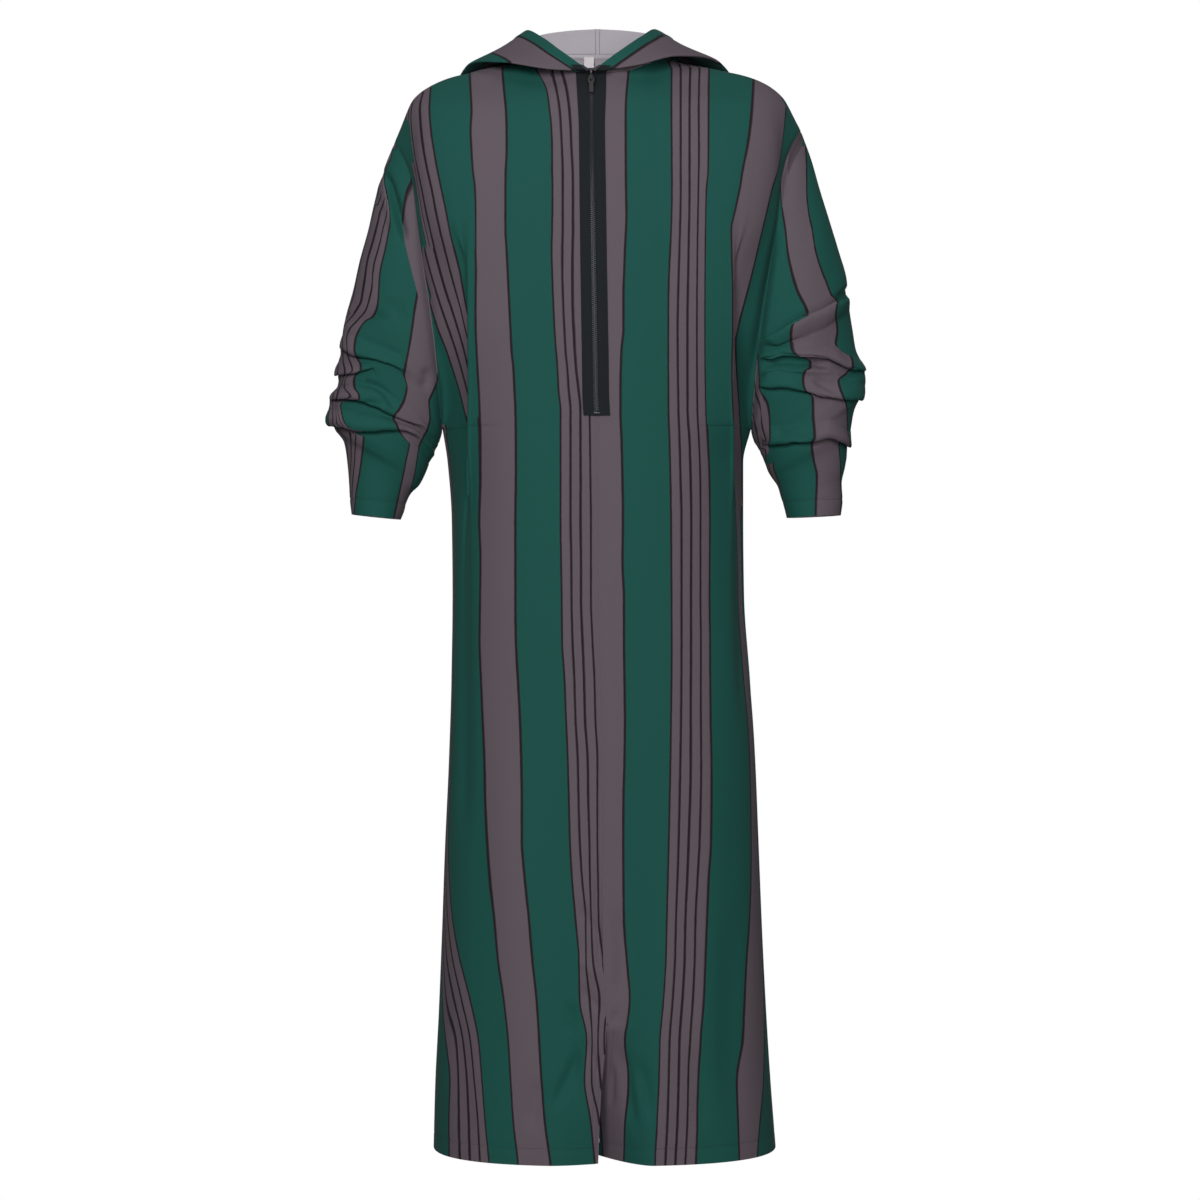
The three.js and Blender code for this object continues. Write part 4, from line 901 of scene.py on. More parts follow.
def sleeve(side):
    sign = -1 if side == "right" else 1
    rolls = ROLLS[side]
    fine = np.linspace(0, 18, 541)
    out = []
    n_cols = len(ANGLES)
    base = np.stack([sleeve_base(side, fine, np.full(fine.shape, a)) for a in ANGLES], 1)
    flip = side == "left"
    N = normals_of(base, flip=flip)
    # The seam under the arm has one normal for both edges.
    seam_n = N[:, 0] + N[:, -1]
    seam_n /= np.linalg.norm(seam_n, axis=-1, keepdims=True)
    N[:, 0] = N[:, -1] = seam_n
    S = arc(base, 0)
    X, Y = seen(base)
    # Where each roll crosses each column, by arc length, and how strong it is there.
    at = np.zeros((len(rolls), n_cols))
    amp = np.zeros((len(rolls), n_cols))
    for k, r in enumerate(rolls):
        q = sorted(r["line"])
        qx, qy = [p[0] for p in q], [p[1] for p in q]
        frac = np.zeros(n_cols)
        for c, a in enumerate(ANGLES):
            if a < 0:
                continue
            g = Y[:, c] - pchip(qx, qy, X[:, c])
            hit = np.nonzero((g[:-1] < 0) & (g[1:] >= 0))[0]
            frac[c] = S[hit[0], c] if len(hit) else (0.0 if g[0] > 0 else S[-1, c] * 0.8)
            x = X[hit[0], c] if len(hit) else X[0, c]
            a0, a1 = r["dies"]
            fade = ease((a1 - x) / (a1 - a0))
            amp[k, c] = fade * lerp(r["out"], 1, ease(a / 0.9))
        first = int(np.argmin(np.abs(ANGLES)))
        f0 = frac[first] / S[-1, first]
        f1 = frac[-1] / S[-1, -1]
        for c, a in enumerate(ANGLES):
            if a >= 0:
                continue
            b = -a / np.pi
            wob = 0.03 * np.sin(3.1 * b * np.pi + 1.3 * k) * np.sin(np.pi * b)
            frac[c] = (lerp(f0, f1, ease(b) * 0.6 + b * 0.4) + wob) * S[-1, c]
            amp[k, c] = lerp(amp[k, first], amp[k, -1], b) * lerp(1, r["back"], np.sin(np.pi * b)) * (1 - 0.35 * np.sin(np.pi * b) ** 4)
        # The line is the edge that shows, which overhangs the middle of the fold.
        at[k] = frac - r["lay"] * 0.5 * r["tuck"] * amp[k]
    # Keep the rolls in order, with a little room.
    for k in range(len(rolls)):
        low = 2.5 * (k + 1) * np.minimum(1, S[-1] / 110)
        at[k] = np.maximum(at[k], low if k == 0 else np.maximum(low, at[k - 1] + 2.5))
    room = 0.93 * S[-1]
    for k in range(len(rolls) - 1, -1, -1):
        cap = room - 3.0 * (len(rolls) - 1 - k)
        at[k] = np.minimum(at[k], cap)
    between = [88, 12, 12, 12, 50]
    in_fold = np.concatenate([np.concatenate([np.zeros(n), np.ones(FOLD_ROWS)]) for n in between[:-1]] + [np.zeros(between[-1])])
    cols = []
    for c in range(n_cols):
        ctrl_s, ctrl_r = [], []
        edges = np.concatenate([[0], at[:, c], [S[-1, c]]])
        rows_s, rows_r = [], []
        end = 0.0
        for k, r in enumerate(rolls):
            gap_up = edges[k + 1] - edges[k]
            gap_dn = edges[k + 2] - edges[k + 1]
            Lu, Ld = min(15, 0.46 * gap_up), min(15, 0.46 * gap_dn)
            m = min(1, min(Lu, Ld) / 12)
            d = r["tuck"] * amp[k, c] * m
            h = r["rise"] * amp[k, c] * (0.35 + 0.65 * m)
            pro = [(-Lu, 0), (-0.55 * Lu, 0.55 * h), (0.05 * d, 1.0 * h), (0.42 * d, 0.92 * h), (0.55 * d, 0.66 * h), (0.42 * d, 0.42 * h), (0.0, 0.26 * h),
                   (-0.42 * d, 0.1 * h), (-0.54 * d, -0.1 * h), (-0.4 * d, -0.3 * h), (0.05 * d, -0.42 * h), (Ld, 0)]
            if r["lay"] < 0:
                pro = [(-s, q) for s, q in pro[::-1]]
                pro[0], pro[-1] = (-Lu, 0), (Ld, 0)
            # Where the roll dies out its rows spread evenly.
            even = np.linspace(-Lu, Ld, len(pro))
            spread = float(ease(amp[k, c] * m * 2.2))
            pro = [(lerp(e, s, spread), q) for e, (s, q) in zip(even, pro)]
            ps = np.array([edges[k + 1] + s for s, _ in pro])
            pr = np.array([q for _, q in pro])
            # The stretch from the last roll to this one.
            t = np.linspace(0, 1, between[k], endpoint=False)
            rows_s.append(lerp(end, ps[0], t))
            rows_r.append(0 * t)
            t = np.linspace(0, 11, FOLD_ROWS, endpoint=False)
            rows_s.append(catmull(ps, t))
            rows_r.append(catmull(pr, t))
            end = ps[-1]
        t = np.linspace(0, 1, between[-1])
        rows_s.append(lerp(end, S[-1, c], t))
        rows_r.append(0 * t)
        s, r = np.concatenate(rows_s), np.concatenate(rows_r)
        q = np.stack([np.interp(s, S[:, c], base[:, c, m]) for m in range(3)], -1)
        n = np.stack([np.interp(s, S[:, c], N[:, c, m]) for m in range(3)], -1)
        cols.append(q + n * r[:, None])
    P = np.stack(cols, 1)
    P[:, -1] = P[:, 0] = (P[:, 0] + P[:, -1]) / 2
    N = normals_of(P, flip=flip)
    plain = P
    for line, depth, width, taper, lean in SLEEVE_CREASES[side]:
        P = crease(P, N, line, depth, width, taper, side=lean)
    P = plain + (P - plain) * ease(arc(plain, 0) / 12)[..., None]
    frontal = np.nonzero(ANGLES >= 0)[0]
    W = across(P, SLEEVE_LINES[side], rising=-sign, cols=frontal)
    if side == "left":
        xs, ys = seen(P)
        W = np.where((ys < 182) & (xs > 781) & (xs < 803) & (ANGLES >= 0)[None, :], np.clip(W, 101.8, 140.2), W)
    # Behind, where nothing breaks them up, the stripes run on evenly from the edges of the front.
    kernel = np.exp(-0.5 * (np.arange(-60, 61) / 24.0) ** 2)
    kernel /= kernel.sum()
    even = np.stack([np.convolve(np.pad(W[:, c], 60, mode="edge"), kernel, "valid") for c in range(W.shape[1])], 1)
    inward = np.abs(np.arange(W.shape[1])[:, None] - frontal[None, :]).min(1)
    W = lerp(W, even, ease(inward / 7.0)[None, :])
    L = arc(P, 0)
    to_cuff = L[-1:] - L
    N = normals_of(P, flip=flip)
    P = groove(P, N, L, 0.8, 1.1, 1.7)
    P = groove(P, N, to_cuff - 19, 0.5, 1.2)
    S1 = arc(P, 1)
    P = groove(P, N, S1, 0.8, 1.1, 1.7)
    P = groove(P, N, S1[:, -1:] - S1, 0.8, 1.1, 1.7)
    P[..., 1] += armhole_dip(side, ANGLES)[None, :] * np.exp(-((L / 8.0) ** 2))
    loose = np.convolve(np.pad(in_fold, 4, mode="edge"), np.ones(9) / 9, "valid")
    T = np.repeat(lerp(0.9, 0.35, loose)[:, None], P.shape[1], 1)
    T += 0.8 * (to_cuff < 19)
    tight = np.repeat((loose[:-1] > 0.05)[:, None], P.shape[1] - 1, 1)
    ob = cloth("sleeve_%s_cloth" % side, P, W, L, CLOTH, flip=flip, thick=T, tight=tight)
    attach(ob, "garment")
    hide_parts("sleeve_" + side)
    return ob, P


sleeve_right, GRID_SR = sleeve("right")
sleeve_left, GRID_SL = sleeve("left")


# ------------------------------------------------------------------ hood
HOOD = {
    "right": [
        (-10, -58, -19, -17, -62, -21, -20, -60, -15, 1.0), (-40, -58, -13, -58, -70, -20, -45, -54, 4, 5),
        (-66, -40, 1, -112, -46, -8, -64, -30, 22, 8), (-92, 6, 16, -152, 4, -5, -84, 6, 38, 11),
        (-74, 52, 38, -160, 78, -42, -94, 76, 36, 14), (-40, 66, 44, -98, 142, -140, -58, 116, 18, 16),
        (0, 70, 45, 0, 162, -222, 0, 124, 8, 18)],
    "left": [
        (-5, -58, -19, 2, -62, -21, 5, -60, -14, 1.0), (38, -58, -12, 48, -68, -15, 30, -54, 5, 5),
        (64, -40, 3, 92, -46, -1, 52, -30, 24, 8), (90, 6, 16, 142, 4, -1, 69, 6, 39, 11),
        (74, 52, 38, 158, 78, -40, 86, 76, 37, 14), (40, 66, 44, 98, 142, -140, 56, 116, 18, 16),
        (0, 70, 45, 0, 162, -222, 0, 124, 8, 18)]}


def hood(side):
    sign = -1 if side == "right" else 1
    lines = []
    for k, (sx, sy, sz, bx, by, bz, ex, ey, ez, op) in enumerate(HOOD[side]):
        n = NECK[k]
        Nk = np.array([n[0] if k == 0 else sign * abs(n[0]), n[1], n[2]], float)
        S, Bp, E = np.array([sx, sy, sz], float), np.array([bx, by, bz], float), np.array([ex, ey, ez], float)
        out = np.array([Bp[0] - S[0], Bp[1] - S[1], 0.0])
        out /= max(np.linalg.norm(out), 1e-9)
        up = np.array([0, 0, 1.0])
        inner = lerp(S, Bp, 0.5) - up * op * 0.15 - out * op * 0.2
        g = (0.5, 0.25, 0.1, 0.0, 0.5, 1.0, 1.0)[k]
        outer = lerp(Bp, E, 0.5) + out * op * 0.8 * g + up * op * 0.5 * g
        roll = S + out * op * 0.45 - up * op * 0.15
        foot = Bp + out * op * 0.5 * lerp(0.4, 1, g) + up * op * 0.5 * lerp(0.4, 1, g)
        lines.append([Nk, lerp(Nk, S, 0.55), S, roll, inner, Bp, foot, outer, E])
    G = np.array(lines)
    t = np.linspace(0, 6, 97)
    G = catmull(G, t)
    u = np.concatenate([np.linspace(0, 7, 64), np.linspace(7, 8, 18)[1:]])
    P = np.swapaxes(catmull(np.swapaxes(G, 0, 1), u), 0, 1)
    flip = side == "left"
    S1 = arc(P, 1)
    to_edge = S1[:, -1:] - S1
    W = 86.2 + to_edge if side == "right" else np.where(to_edge < 14, 86.2 + to_edge, 100.2 + (to_edge - 14) * lerp(0.55, 1.0, ease((t - 2.8) / 2.4))[:, None])
    L = arc(P, 0)[:, -1:] + 0 * to_edge
    N = normals_of(P, flip=flip)
    P = groove(P, N, to_edge - 11.5, 0.45, 1.1)
    P = groove(P, N, L[-1:] - L, 0.8, 1.1, 1.7)
    T = np.full(P.shape[:2], 0.9)
    T += 0.8 * (to_edge < 11.5)
    ob = cloth("hood_%s_cloth" % side, P, W, L, (WRONG, STRIPED), flip=flip, thick=T)
    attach(ob, "garment")
    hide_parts("hood_" + side)
    return ob, P


hood_right, GRID_HR = hood("right")
hood_left, GRID_HL = hood("left")


# ------------------------------------------------------------------ zip
def tape_cloth():
    n = Nodes("zip_tape")
    uv = n.add("ShaderNodeUVMap", uv_map="cloth").outputs[0]
    u, v, fine, slub = weave(n, uv, 1.3)
    rib = n.math("SINE", n.math("MULTIPLY", v, 2 * math.pi / 0.00115))
    tone = n.math("MULTIPLY_ADD", rib, 0.12, n.math("MULTIPLY_ADD", n.math("SUBTRACT", slub, 0.5), 0.3, 1.0))
    col = n.add("ShaderNodeHueSaturation", {"Color": linear(30, 34, 37), "Value": tone, "Saturation": 1.0})
    n.set(n.bsdf.inputs["Base Color"], col.outputs[0])
    n.set(n.bsdf.inputs["Roughness"], 0.8)
    n.set(n.bsdf.inputs["Specular IOR Level"], 0.18)
    n.set(n.bsdf.inputs["Sheen Weight"], 0.05)
    bump = n.add("ShaderNodeBump", {"Height": n.math("ADD", n.math("MULTIPLY", rib, 0.6), slub), "Strength": 0.3, "Distance": 0.0003})
    n.set(n.bsdf.inputs["Normal"], bump.outputs[0])
    return n.mat


def moulded(name, colour, rough, speck=0.0):
    n = Nodes(name)
    where = n.add("ShaderNodeTexCoord").outputs["Object"]
    noise = n.add("ShaderNodeTexNoise", {"Vector": where, "Scale": 900.0, "Detail": 2.0})
    tone = n.math("MULTIPLY_ADD", n.math("SUBTRACT", noise.outputs[0], 0.5), 0.3 + speck, 1.0)
    col = n.add("ShaderNodeHueSaturation", {"Color": colour, "Value": tone, "Saturation": 1.0})
    n.set(n.bsdf.inputs["Base Color"], col.outputs[0])
    n.set(n.bsdf.inputs["Roughness"], n.math("MULTIPLY_ADD", n.math("SUBTRACT", noise.outputs[0], 0.5), 0.15, rough))
    n.set(n.bsdf.inputs["Specular IOR Level"], 0.5)
    bump = n.add("ShaderNodeBump", {"Height": noise.outputs[0], "Strength": 0.06, "Distance": 0.0002})
    n.set(n.bsdf.inputs["Normal"], bump.outputs[0])
    return n.mat


TAPE = tape_cloth()
TOOTH = moulded("zip_teeth", linear(52, 56, 61), 0.3)
ENAMEL = moulded("zip_enamel", linear(15, 17, 19), 0.42)
ENAMEL.node_tree.nodes["Principled BSDF"].inputs["Coat Weight"].default_value = 0.1

ZIP_BOTTOM_Z = -431.5
Z_ROW = 111


def near_front(grid, flip, s, rows):
    """Points and normals at distances s from the front edge, one row of s for each fractional grid row."""
    N = normals_of(grid, flip=flip)
    S = arc(grid, 1)
    i = np.clip(np.floor(rows).astype(int), 0, len(grid) - 2)
    f = (rows - i)[:, None, None]
    out = []
    for A in (grid, N):
        lo = np.stack([np.stack([np.interp(s[r], S[q], A[q, :, k]) for k in range(3)], -1) for r, q in enumerate(i)])
        hi = np.stack([np.stack([np.interp(s[r], S[q + 1], A[q + 1, :, k]) for k in range(3)], -1) for r, q in enumerate(i)])
        out.append(lerp(lo, hi, f))
    out[1] /= np.linalg.norm(out[1], axis=-1, keepdims=True)
    return out


def zip_rows(grid):
    """Fractional grid rows from the neck edge to the zip's foot."""
    z = grid[:, 0, 2]
    last = int(np.argmax(z < ZIP_BOTTOM_Z))
    end = last - 1 + (z[last - 1] - ZIP_BOTTOM_Z) / (z[last - 1] - z[last])
    return np.concatenate([np.linspace(0, 12, 25), np.linspace(12, end, 96)[1:]])


def tape(side):
    sign = -1 if side == "right" else 1
    grid = GRID_RIGHT if side == "right" else GRID_LEFT
    rows = zip_rows(grid)
    z = np.interp(rows, np.arange(len(grid)), grid[:, 0, 2])
    t = np.linspace(0, 1, 22)
    half = 15.5 + 2.6 * ease((z + 100) / 76)
    s = 0.2 + (half - 0.2)[:, None] * t[None, :]
    P, N = near_front(grid, side == "right", s, rows)
    N = np.where(N[..., 1:2] > 0, -N, N)
    P = P + N * 1.5
    # Above the neck edge the tape runs on over the hood's corner and parts from its neighbour.
    head = []
    for v in np.linspace(1, 0, 9, endpoint=False):
        row = P[0].copy()
        a, b = row[0] + np.array([sign * 9.0 * v**1.2, 0, 8.0 * v]), row[-1] + np.array([sign * 6.0 * v, 0, 6.5 * v])
        q = lerp(a, b, t[:, None])
        q[:, 1] = lerp(row[:, 1], min(row[:, 1].min(), -70.5) - 2.6, ease(v * 5.0))
        head.append(q)
    P = np.concatenate([np.array(head), P])
    N = np.concatenate([np.repeat(N[:1], len(head), 0), N])
    # A turned edge and a row of stitching.
    S = arc(P, 1)
    P = P - N * (0.28 * np.exp(-(((S[:, -1:] - S - 2.6) / 0.8) ** 2)))[..., None]
    P = P - N * (0.25 * np.exp(-(((S[:, -1:] - S) / 0.5) ** 2)))[..., None]
    ob = cloth("zip_tape_%s_woven" % side, P, S, arc(P, 0), (TAPE,), flip=side == "right", thick=0.9)
    ob.data.polygons.foreach_set("material_index", np.zeros(len(ob.data.polygons), np.int32))
    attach(ob, "garment")
    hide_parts("zip_tape_" + side)
    return ob, P


tape_right, GRID_TR = tape("right")
tape_left, GRID_TL = tape("left")


def block(x0, x1, y, z0, z1, c):
    """A chamfered tooth with a round head at x1: corner points and faces."""
    pts, faces = [], []
    head = 0.6 * (x1 - x0)
    outline = [(x0, -y), (x0 + head, -y * 0.8), (x1 - c, -y * 0.95), (x1, -y * 0.45), (x1, y * 0.45), (x1 - c, y * 0.95), (x0 + head, y * 0.8), (x0, y)]
    n = len(outline)
    cx, cy = sum(p[0] for p in outline) / n, 0.0
    for z, k in ((z0, 1.0), (z1 - c, 1.0), (z1 - 0.3 * c, 0.86), (z1, 0.6)):
        for px, py in outline:
            pts.append((cx + (px - cx) * k, cy + (py - cy) * k, z))
    for r in range(3):
        for k in range(n):
            a, b = r * n + k, r * n + (k + 1) % n
            faces.append((a, b, b + n, a + n))
    faces.append(tuple(range(n - 1, -1, -1)))
    faces.append(tuple(3 * n + k for k in range(n)))
    return np.array(pts), faces


def teeth():
    grid = GRID_RIGHT
    rows = zip_rows(grid)
    s = np.zeros((len(rows), 1))
    a, na = near_front(GRID_RIGHT, True, s, rows)
    b, nb = near_front(GRID_LEFT, False, s, rows)
    path = (a[:, 0] + b[:, 0]) / 2
    nrm = np.where(na[:, 0, 1:2] > 0, -na[:, 0], na[:, 0]) + np.where(nb[:, 0, 1:2] > 0, -nb[:, 0], nb[:, 0])
    nrm /= np.linalg.norm(nrm, axis=1, keepdims=True)
    seg = np.concatenate([[0], np.cumsum(np.linalg.norm(np.diff(path, axis=0), axis=1))])
    top = np.interp(34.0, -path[:, 2], seg)
    end = seg[-1] - 4.5
    pitch = 2.4
    verts, faces = [], []
    base = 0

    def put(side, p, down, n, spread=0.0):
        nonlocal base
        acr = np.cross(n, down)
        acr /= np.linalg.norm(acr)
        if acr[0] < 0:
            acr = -acr
        pts, fs = block(-2.9, 0.55, 0.52, 1.2, 3.1, 0.3)
        x = pts[:, :1] * (1 if side < 0 else -1) + side * spread
        q = p + x * acr + pts[:, 1:2] * down + pts[:, 2:3] * n
        verts.append(q)
        mirrored = np.dot(np.cross(acr * (1 if side < 0 else -1), down), n) < 0
        faces.extend([tuple(k + base for k in (f[::-1] if mirrored else f)) for f in fs])
        base += len(pts)

    for side in (-1, 1):
        d = top + (0 if side < 0 else pitch / 2)
        while d < end:
            p = np.array([np.interp(d, seg, path[:, k]) for k in range(3)])
            n = np.array([np.interp(d, seg, nrm[:, k]) for k in range(3)])
            dn = np.array([np.interp(d + 1, seg, path[:, k]) - np.interp(d - 1, seg, path[:, k]) for k in range(3)])
            put(side, p, dn / np.linalg.norm(dn), n / np.linalg.norm(n))
            d += pitch
        # The teeth that have parted above the slider.
        g = GRID_TR if side < 0 else GRID_TL
        edge = g[:12, 0]
        es = np.concatenate([[0], np.cumsum(np.linalg.norm(np.diff(edge, axis=0), axis=1))])
        for k in range(4):
            d = 1.2 + 2.3 * k
            p = np.array([np.interp(d, es, edge[:, m]) for m in range(3)])
            dn = np.array([np.interp(d + 0.6, es, edge[:, m]) - np.interp(d - 0.6, es, edge[:, m]) for m in range(3)])
            put(side, p + np.array([0, 0.6, 0]), dn / np.linalg.norm(dn), np.array([0, -1.0, 0]), 0.5)
    # The stop at the foot.
    p = path[-1] + np.array([0, 0, 3.0])
    pts, fs = block(-4.0, 4.0, 1.3, 1.3, 3.3, 0.5)
    verts.append(p + pts[:, :1] * np.array([1.0, 0, 0]) + pts[:, 1:2] * np.array([0, 0, 1.0]) + pts[:, 2:3] * np.array([0, -1.0, 0]))
    faces.extend([tuple(k + base for k in f) for f in fs])
    ob = make("zip_teeth", np.concatenate(verts), faces, (TOOTH,), smooth=True, sharp=35)
    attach(ob, "garment")
    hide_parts("zip_chain")
    return ob


zip_teeth = teeth()

# The slider and its pull stay as the CAD part gives them, in black enamel.
for name in ("zip_slider", "zip_pull"):
    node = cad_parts[name]
    node.data.materials.clear()
    node.data.materials.append(ENAMEL)


# ------------------------------------------------------------------ stitching and the blank label
def thread(name, tone):
    n = Nodes(name)
    where = n.add("ShaderNodeTexCoord").outputs["Object"]
    noise = n.add("ShaderNodeTexNoise", {"Vector": where, "Scale": 1500.0, "Detail": 1.0})
    col = n.add("ShaderNodeHueSaturation", {"Color": linear(*tone), "Value": n.math("MULTIPLY_ADD", noise.outputs[0], 0.4, 0.8), "Saturation": 1.0})
    n.set(n.bsdf.inputs["Base Color"], col.outputs[0])
    n.set(n.bsdf.inputs["Roughness"], 0.7)
    return n.mat


def level(P, D, value, flip):
    """Points and normals where D, which falls down each column, comes to value."""
    N = normals_of(P, flip=flip)
    pts, nrm = [], []
    for c in range(P.shape[1]):
        d = D[:, c]
        i = int(np.argmax(d < value))
        if i > 0:
            f = (d[i - 1] - value) / max(d[i - 1] - d[i], 1e-9)
            pts.append(lerp(P[i - 1, c], P[i, c], f))
            nrm.append(lerp(N[i - 1, c], N[i, c], f))
    return np.array(pts), np.array(nrm)


def stitches(name, runs, mat, pitch=3.4, length=2.3, half=0.24, lift=0.12):
    verts, faces = [], []
    base = 0
    for pts, nrm in runs:
        if len(pts) < 2:
            continue
        seg = np.concatenate([[0], np.cumsum(np.linalg.norm(np.diff(pts, axis=0), axis=1))])
        count = int(seg[-1] // pitch)
        for k in range(count):
            d = (k + 0.5) * pitch
            at = [np.array([np.interp(d + e, seg, pts[:, m]) for m in range(3)]) for e in (-length / 2, 0, length / 2)]
            n = np.array([np.interp(d, seg, nrm[:, m]) for m in range(3)])
            n /= np.linalg.norm(n)
            t = at[2] - at[0]
            t /= max(np.linalg.norm(t), 1e-9)
            b = np.cross(n, t)
            ring = [(half, 0), (0, half * 0.8), (-half, 0), (0, -half)]
            verts.append(at[0] - n * 0.15)
            for e in (-0.3, 0.3):
                c = at[1] + t * e * length + n * lift
                verts += [c + b * u + n * v for u, v in ring]
            verts.append(at[2] - n * 0.15)
            for q in range(4):
                r = (q + 1) % 4
                faces.append((base, base + 1 + r, base + 1 + q))
                faces.append((base + 1 + q, base + 1 + r, base + 5 + r, base + 5 + q))
                faces.append((base + 9, base + 5 + q, base + 5 + r))
            base += 10
    ob = make(name, np.array(verts), faces, (mat,), smooth=True)
    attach(ob, "garment")
    return ob


THREAD = thread("sewing_thread", (44, 50, 53))
SEAM_THREAD = thread("seam_thread", (118, 122, 142))


def sewing():
    runs = []
    for P, flip, inset in ((GRID_RIGHT, True, 19.5), (GRID_LEFT, False, 19.5), (GRID_BACK, True, 19.5), (GRID_SR, False, 19.0), (GRID_SL, True, 19.0)):
        L = arc(P, 0)
        runs.append(level(P, L[-1:] - L, inset, flip))
    for P, flip in ((GRID_RIGHT, True), (GRID_LEFT, False)):
        # Down the slit, beside the edge.
        Q, N = np.swapaxes(P, 0, 1), np.swapaxes(normals_of(P, flip=flip), 0, 1)
        keep = (P[:, 0, 2] < SLIT_TOP_Z + 4) & (P[:, 0, 2] > HEM_Z + 20)
        S = arc(P, 1)
        pts, nrm = [], []
        for i in np.nonzero(keep)[0]:
            pts.append([np.interp(9.0, S[i], P[i, :, m]) for m in range(3)])
            nrm.append([np.interp(9.0, S[i], N[:, i, m]) for m in range(3)])
        runs.append((np.array(pts), np.array(nrm)))
        # The bar tack at its top.
        row = int(np.argmax(P[:, 0, 2] < SLIT_TOP_Z + 10))
        for down in (0.0, 1.2, 2.4):
            a = P[row, 0] + np.array([0, 0, -down])
            b = np.array([np.interp(6.5, S[row], P[row, :, m]) for m in range(3)]) + np.array([0, 0, -down])
            n = normals_of(P, flip=flip)[row, 0]
            runs.append((np.array([a, b]), np.array([n, n])))
    for P, flip in ((GRID_HR, False), (GRID_HL, True)):
        S = arc(P, 1)
        pts, nrm = level(np.swapaxes(P, 0, 1), np.swapaxes(S[:, -1:] - S, 0, 1), 11.5, not flip)
        runs.append((pts, nrm))
    return stitches("stitching", runs, THREAD)


def inner_sewing():
    runs = []
    for P, flip in ((GRID_HR, False), (GRID_HL, True)):
        N = normals_of(P, flip=flip)
        S = arc(P, 1)
        L = arc(P, 0)
        rise = S[-1]
        for off in (1.7,):
            row = len(P) - 1 - int(np.argmax((L[-1:, 0] - L[::-1, 0]) > off))
            keep = (S[row] > 2) & (S[row] < rise.max() * 0.6)
            runs.append((P[row][keep] + N[row][keep] * 0.05, N[row][keep]))
        cols = int(np.argmax(S[-1] > 2.2))
        runs.append((P[30:, cols] + N[30:, cols] * 0.05, N[30:, cols]))
    return stitches("seam_stitching", runs, SEAM_THREAD, 2.6, 2.2, 0.4, 0.15)


stitching = sewing()
seam_stitching = inner_sewing()


def tape_sewing():
    runs = []
    for P, flip in ((GRID_TR, True), (GRID_TL, False)):
        S = arc(P, 1)
        N = normals_of(P, flip=flip)
        for inset in (2.6,):
            pts = np.array([[np.interp(S[i, -1] - inset, S[i], P[i, :, m]) for m in range(3)] for i in range(len(P))])
            nrm = np.array([[np.interp(S[i, -1] - inset, S[i], N[i, :, m]) for m in range(3)] for i in range(len(P))])
            runs.append((pts[9:], nrm[9:]))
    return stitches("zip_stitching", runs, TAPE, 3.2, 2.2, 0.22, 0.12)


zip_stitching = tape_sewing()
uv = zip_stitching.data.uv_layers.new(name="cloth")


def label_cloth():
    n = Nodes("label_satin")
    uv = n.add("ShaderNodeUVMap", uv_map="cloth").outputs[0]
    u, v, fine, slub = weave(n, uv, 0.6)
    tone = n.math("MULTIPLY_ADD", n.math("SUBTRACT", slub, 0.5), 0.1, 1.0)
    col = n.add("ShaderNodeHueSaturation", {"Color": linear(226, 219, 222), "Value": tone, "Saturation": 1.0})
    n.set(n.bsdf.inputs["Base Color"], col.outputs[0])
    n.set(n.bsdf.inputs["Roughness"], 0.55)
    bump = n.add("ShaderNodeBump", {"Height": fine, "Strength": 0.2, "Distance": 0.0002})
    n.set(n.bsdf.inputs["Normal"], bump.outputs[0])
    return n.mat


def neck_label():
    lo, hi = (np.array(v) * 1000 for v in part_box("neck_label"))
    v, u = np.meshgrid(np.linspace(0, 1, 15), np.linspace(0, 1, 13), indexing="ij")
    x = lerp(lo[0] + 0.1, hi[0] - 0.1, u)
    z = lerp(hi[2] - 0.1, lo[2] + 0.1, v)
    y = lerp(hi[1] - 1.0, lo[1] + 0.35, v) - 0.25 * np.sin(np.pi * v) + 0.2 * np.cos(2 * np.pi * (u - 0.5)) * v
    P = np.stack([x, y, z], -1)
    ob = cloth("neck_label_blank", P, x - x.min(), z.max() - z, (label_cloth(),), thick=0.45)
    ob.data.polygons.foreach_set("material_index", np.zeros(len(ob.data.polygons), np.int32))
    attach(ob, "garment")
    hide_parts("neck_label")
    N = normals_of(P)
    runs = [(P[1, 1:-1], N[1, 1:-1])]
    st = stitches("label_stitching", runs, THREAD, 1.6, 1.1, 0.12, 0.05)
    return ob, P, st


label_piece, GRID_LABEL, label_stitching = neck_label()


# ------------------------------------------------------------------ what each sheet was cut to
def laid_out(P):
    """Width, length and area of a grid laid flat, in metres."""
    du, dv = P[1:, :-1] - P[:-1, :-1], P[:-1, 1:] - P[:-1, :-1]
    area = np.linalg.norm(np.cross(du, dv), axis=-1).sum()
    return (float(arc(P, 1)[:, -1].max()) * MM, float(arc(P, 0)[-1].max()) * MM), float(area) * MM * MM


CUTS = {}
for piece, grid, held, rests, going in (
    (front_right, GRID_RIGHT, "hung", (), ()), (front_left, GRID_LEFT, "hung", (), ()), (back_piece, GRID_BACK, "hung", (), (stitching,)),
    (sleeve_right, GRID_SR, "gathered", (), ()), (sleeve_left, GRID_SL, "gathered", (), ()),
    (hood_right, GRID_HR, "folded", ("back_cloth",), ()), (hood_left, GRID_HL, "folded", ("back_cloth",), (seam_stitching,)),
    (tape_right, GRID_TR, "laid", ("front_right_cloth",), ()), (tape_left, GRID_TL, "laid", ("front_left_cloth",), (zip_stitching,)),
    (label_piece, GRID_LABEL, "hung", (), (label_stitching,))):
    size, area = laid_out(grid)
    area = min(max(area, 0.31 * size[0] * size[1]), size[0] * size[1])
    CUTS[piece.name] = [round(size[0], 3), round(size[1], 3), round(area, 4)]
print("CUTS", CUTS)


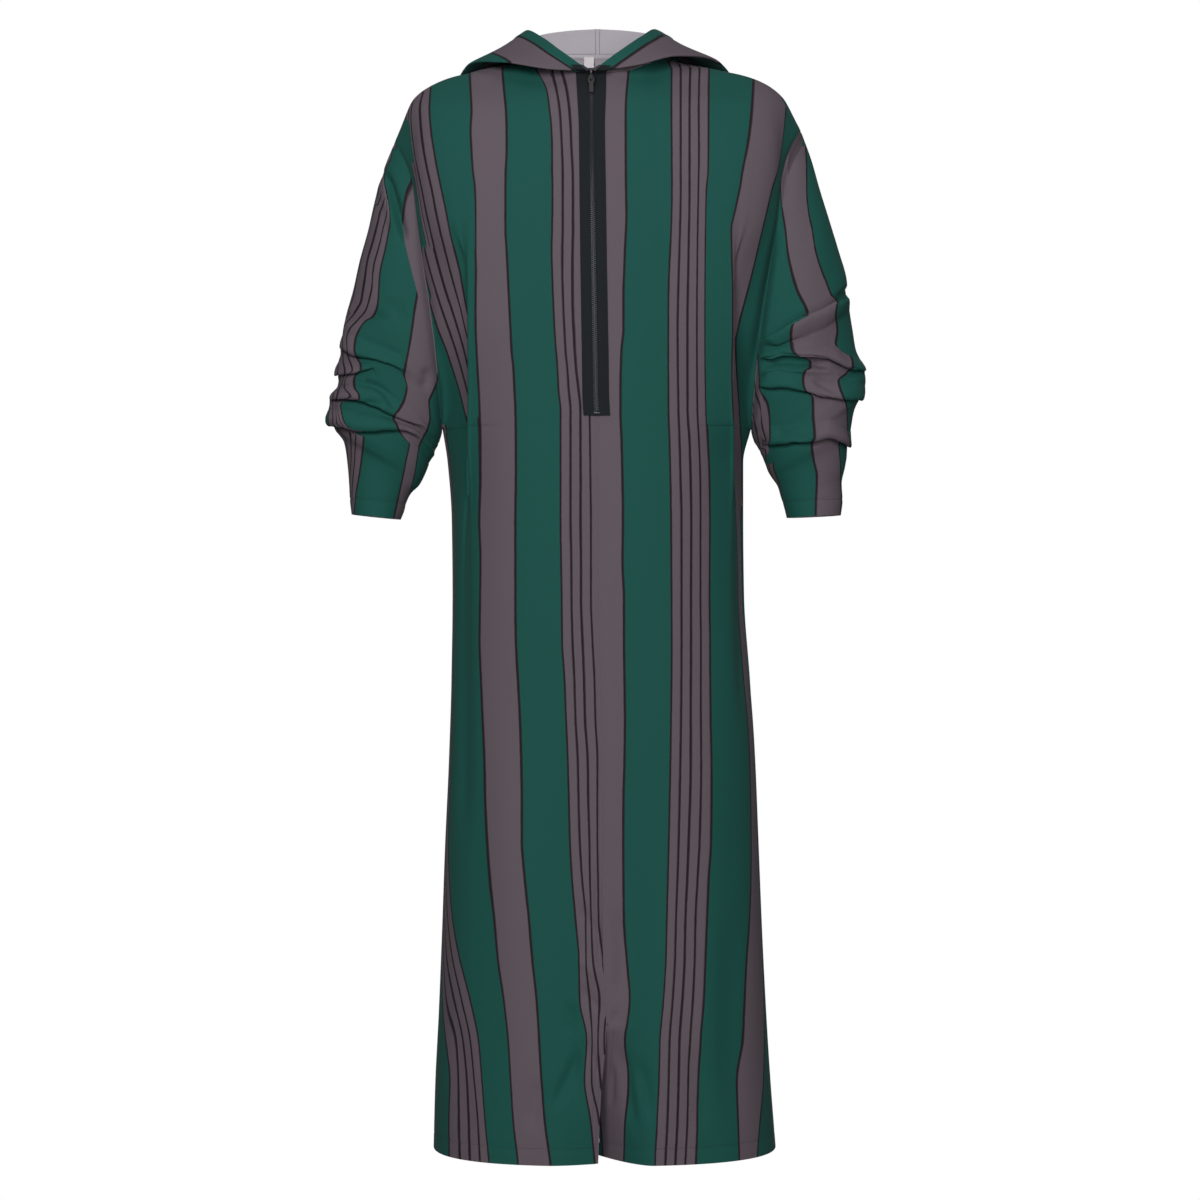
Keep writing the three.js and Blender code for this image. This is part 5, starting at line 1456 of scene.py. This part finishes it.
# ------------------------------------------------------------------ stage, light and camera
def white(name, strength, base):
    n = Nodes(name)
    n.set(n.bsdf.inputs["Base Color"], (base, base, base, 1))
    n.set(n.bsdf.inputs["Roughness"], 1.0)
    n.set(n.bsdf.inputs["Specular IOR Level"], 0.0)
    n.set(n.bsdf.inputs["Emission Color"], (1, 1, 1, 1))
    n.set(n.bsdf.inputs["Emission Strength"], strength)
    return n.mat


def stage():
    # A round pale floor, and a white dome behind everything that sheds no light on the cloth.
    n = 96
    ring = [(9000 * math.cos(2 * math.pi * k / n), 9000 * math.sin(2 * math.pi * k / n), -1420) for k in range(n)]
    floor = make("studio_floor", ring + [(0, 0, -1420)], [(k, (k + 1) % n, n) for k in range(n)], (white("pale_floor", 1.0, 0.0),))
    verts, faces = [], []
    rows, cols = 16, 48
    for i in range(rows + 1):
        e = -0.25 + (math.pi / 2 + 0.25) * i / rows
        for k in range(cols):
            a = 2 * math.pi * k / cols
            verts.append((9500 * math.cos(e) * math.cos(a), 9500 * math.cos(e) * math.sin(a), -645 + 9500 * math.sin(e)))
    for i in range(rows):
        for k in range(cols):
            faces.append((i * cols + k, (i + 1) * cols + k, (i + 1) * cols + (k + 1) % cols, i * cols + (k + 1) % cols))
    dome = make("studio_dome", verts, faces, (white("white_dome", 1.0, 0.0),))
    for ob in (dome, floor):
        ob.visible_diffuse = False
        ob.visible_glossy = False
        ob.visible_shadow = False


stage()


def lamp(name, place, aim, size, watts, size_y=None):
    d = bpy.data.lights.new(name, "AREA")
    d.energy = watts
    d.size = size
    if size_y:
        d.shape = "RECTANGLE"
        d.size_y = size_y
    ob = bpy.data.objects.new(name, d)
    bpy.context.scene.collection.objects.link(ob)
    ob.location = place
    from mathutils import Vector
    ob.rotation_euler = (Vector(aim) - Vector(place)).to_track_quat("-Z", "Y").to_euler()
    return ob


lamp("key", (-0.8, -3.6, 0.8), (0, 0, -0.4), 1.0, 64, 1.4)
lamp("fill", (0.7, -3.7, -0.2), (0, 0, -0.5), 1.2, 36, 1.8)
lamp("top", (0.0, -0.9, 2.0), (0, 0, -0.3), 1.2, 7)
lamp("behind", (0.5, 3.5, 0.3), (0, 0, -0.5), 1.6, 34, 1.8)
world = bpy.data.worlds.new("studio")
bpy.context.scene.world = world
world.use_nodes = True
sky = next(n for n in world.node_tree.nodes if n.type == "BACKGROUND")
sky.inputs[0].default_value = (1, 1, 1, 1)
sky.inputs[1].default_value = 0.11

bpy.context.scene.view_settings.view_transform = "Standard"

cam = bpy.data.cameras.new("photo_angle")
cam.lens = 90
cam.sensor_width = 36
cam_ob = bpy.data.objects.new("photo_angle", cam)
bpy.context.scene.collection.objects.link(cam_ob)
cam_ob.location = (CAM_X * MM, CAM_Y * MM, CAM_Z * MM)
cam_ob.rotation_euler = (math.pi / 2, 0, 0)
bpy.context.scene.camera = cam_ob
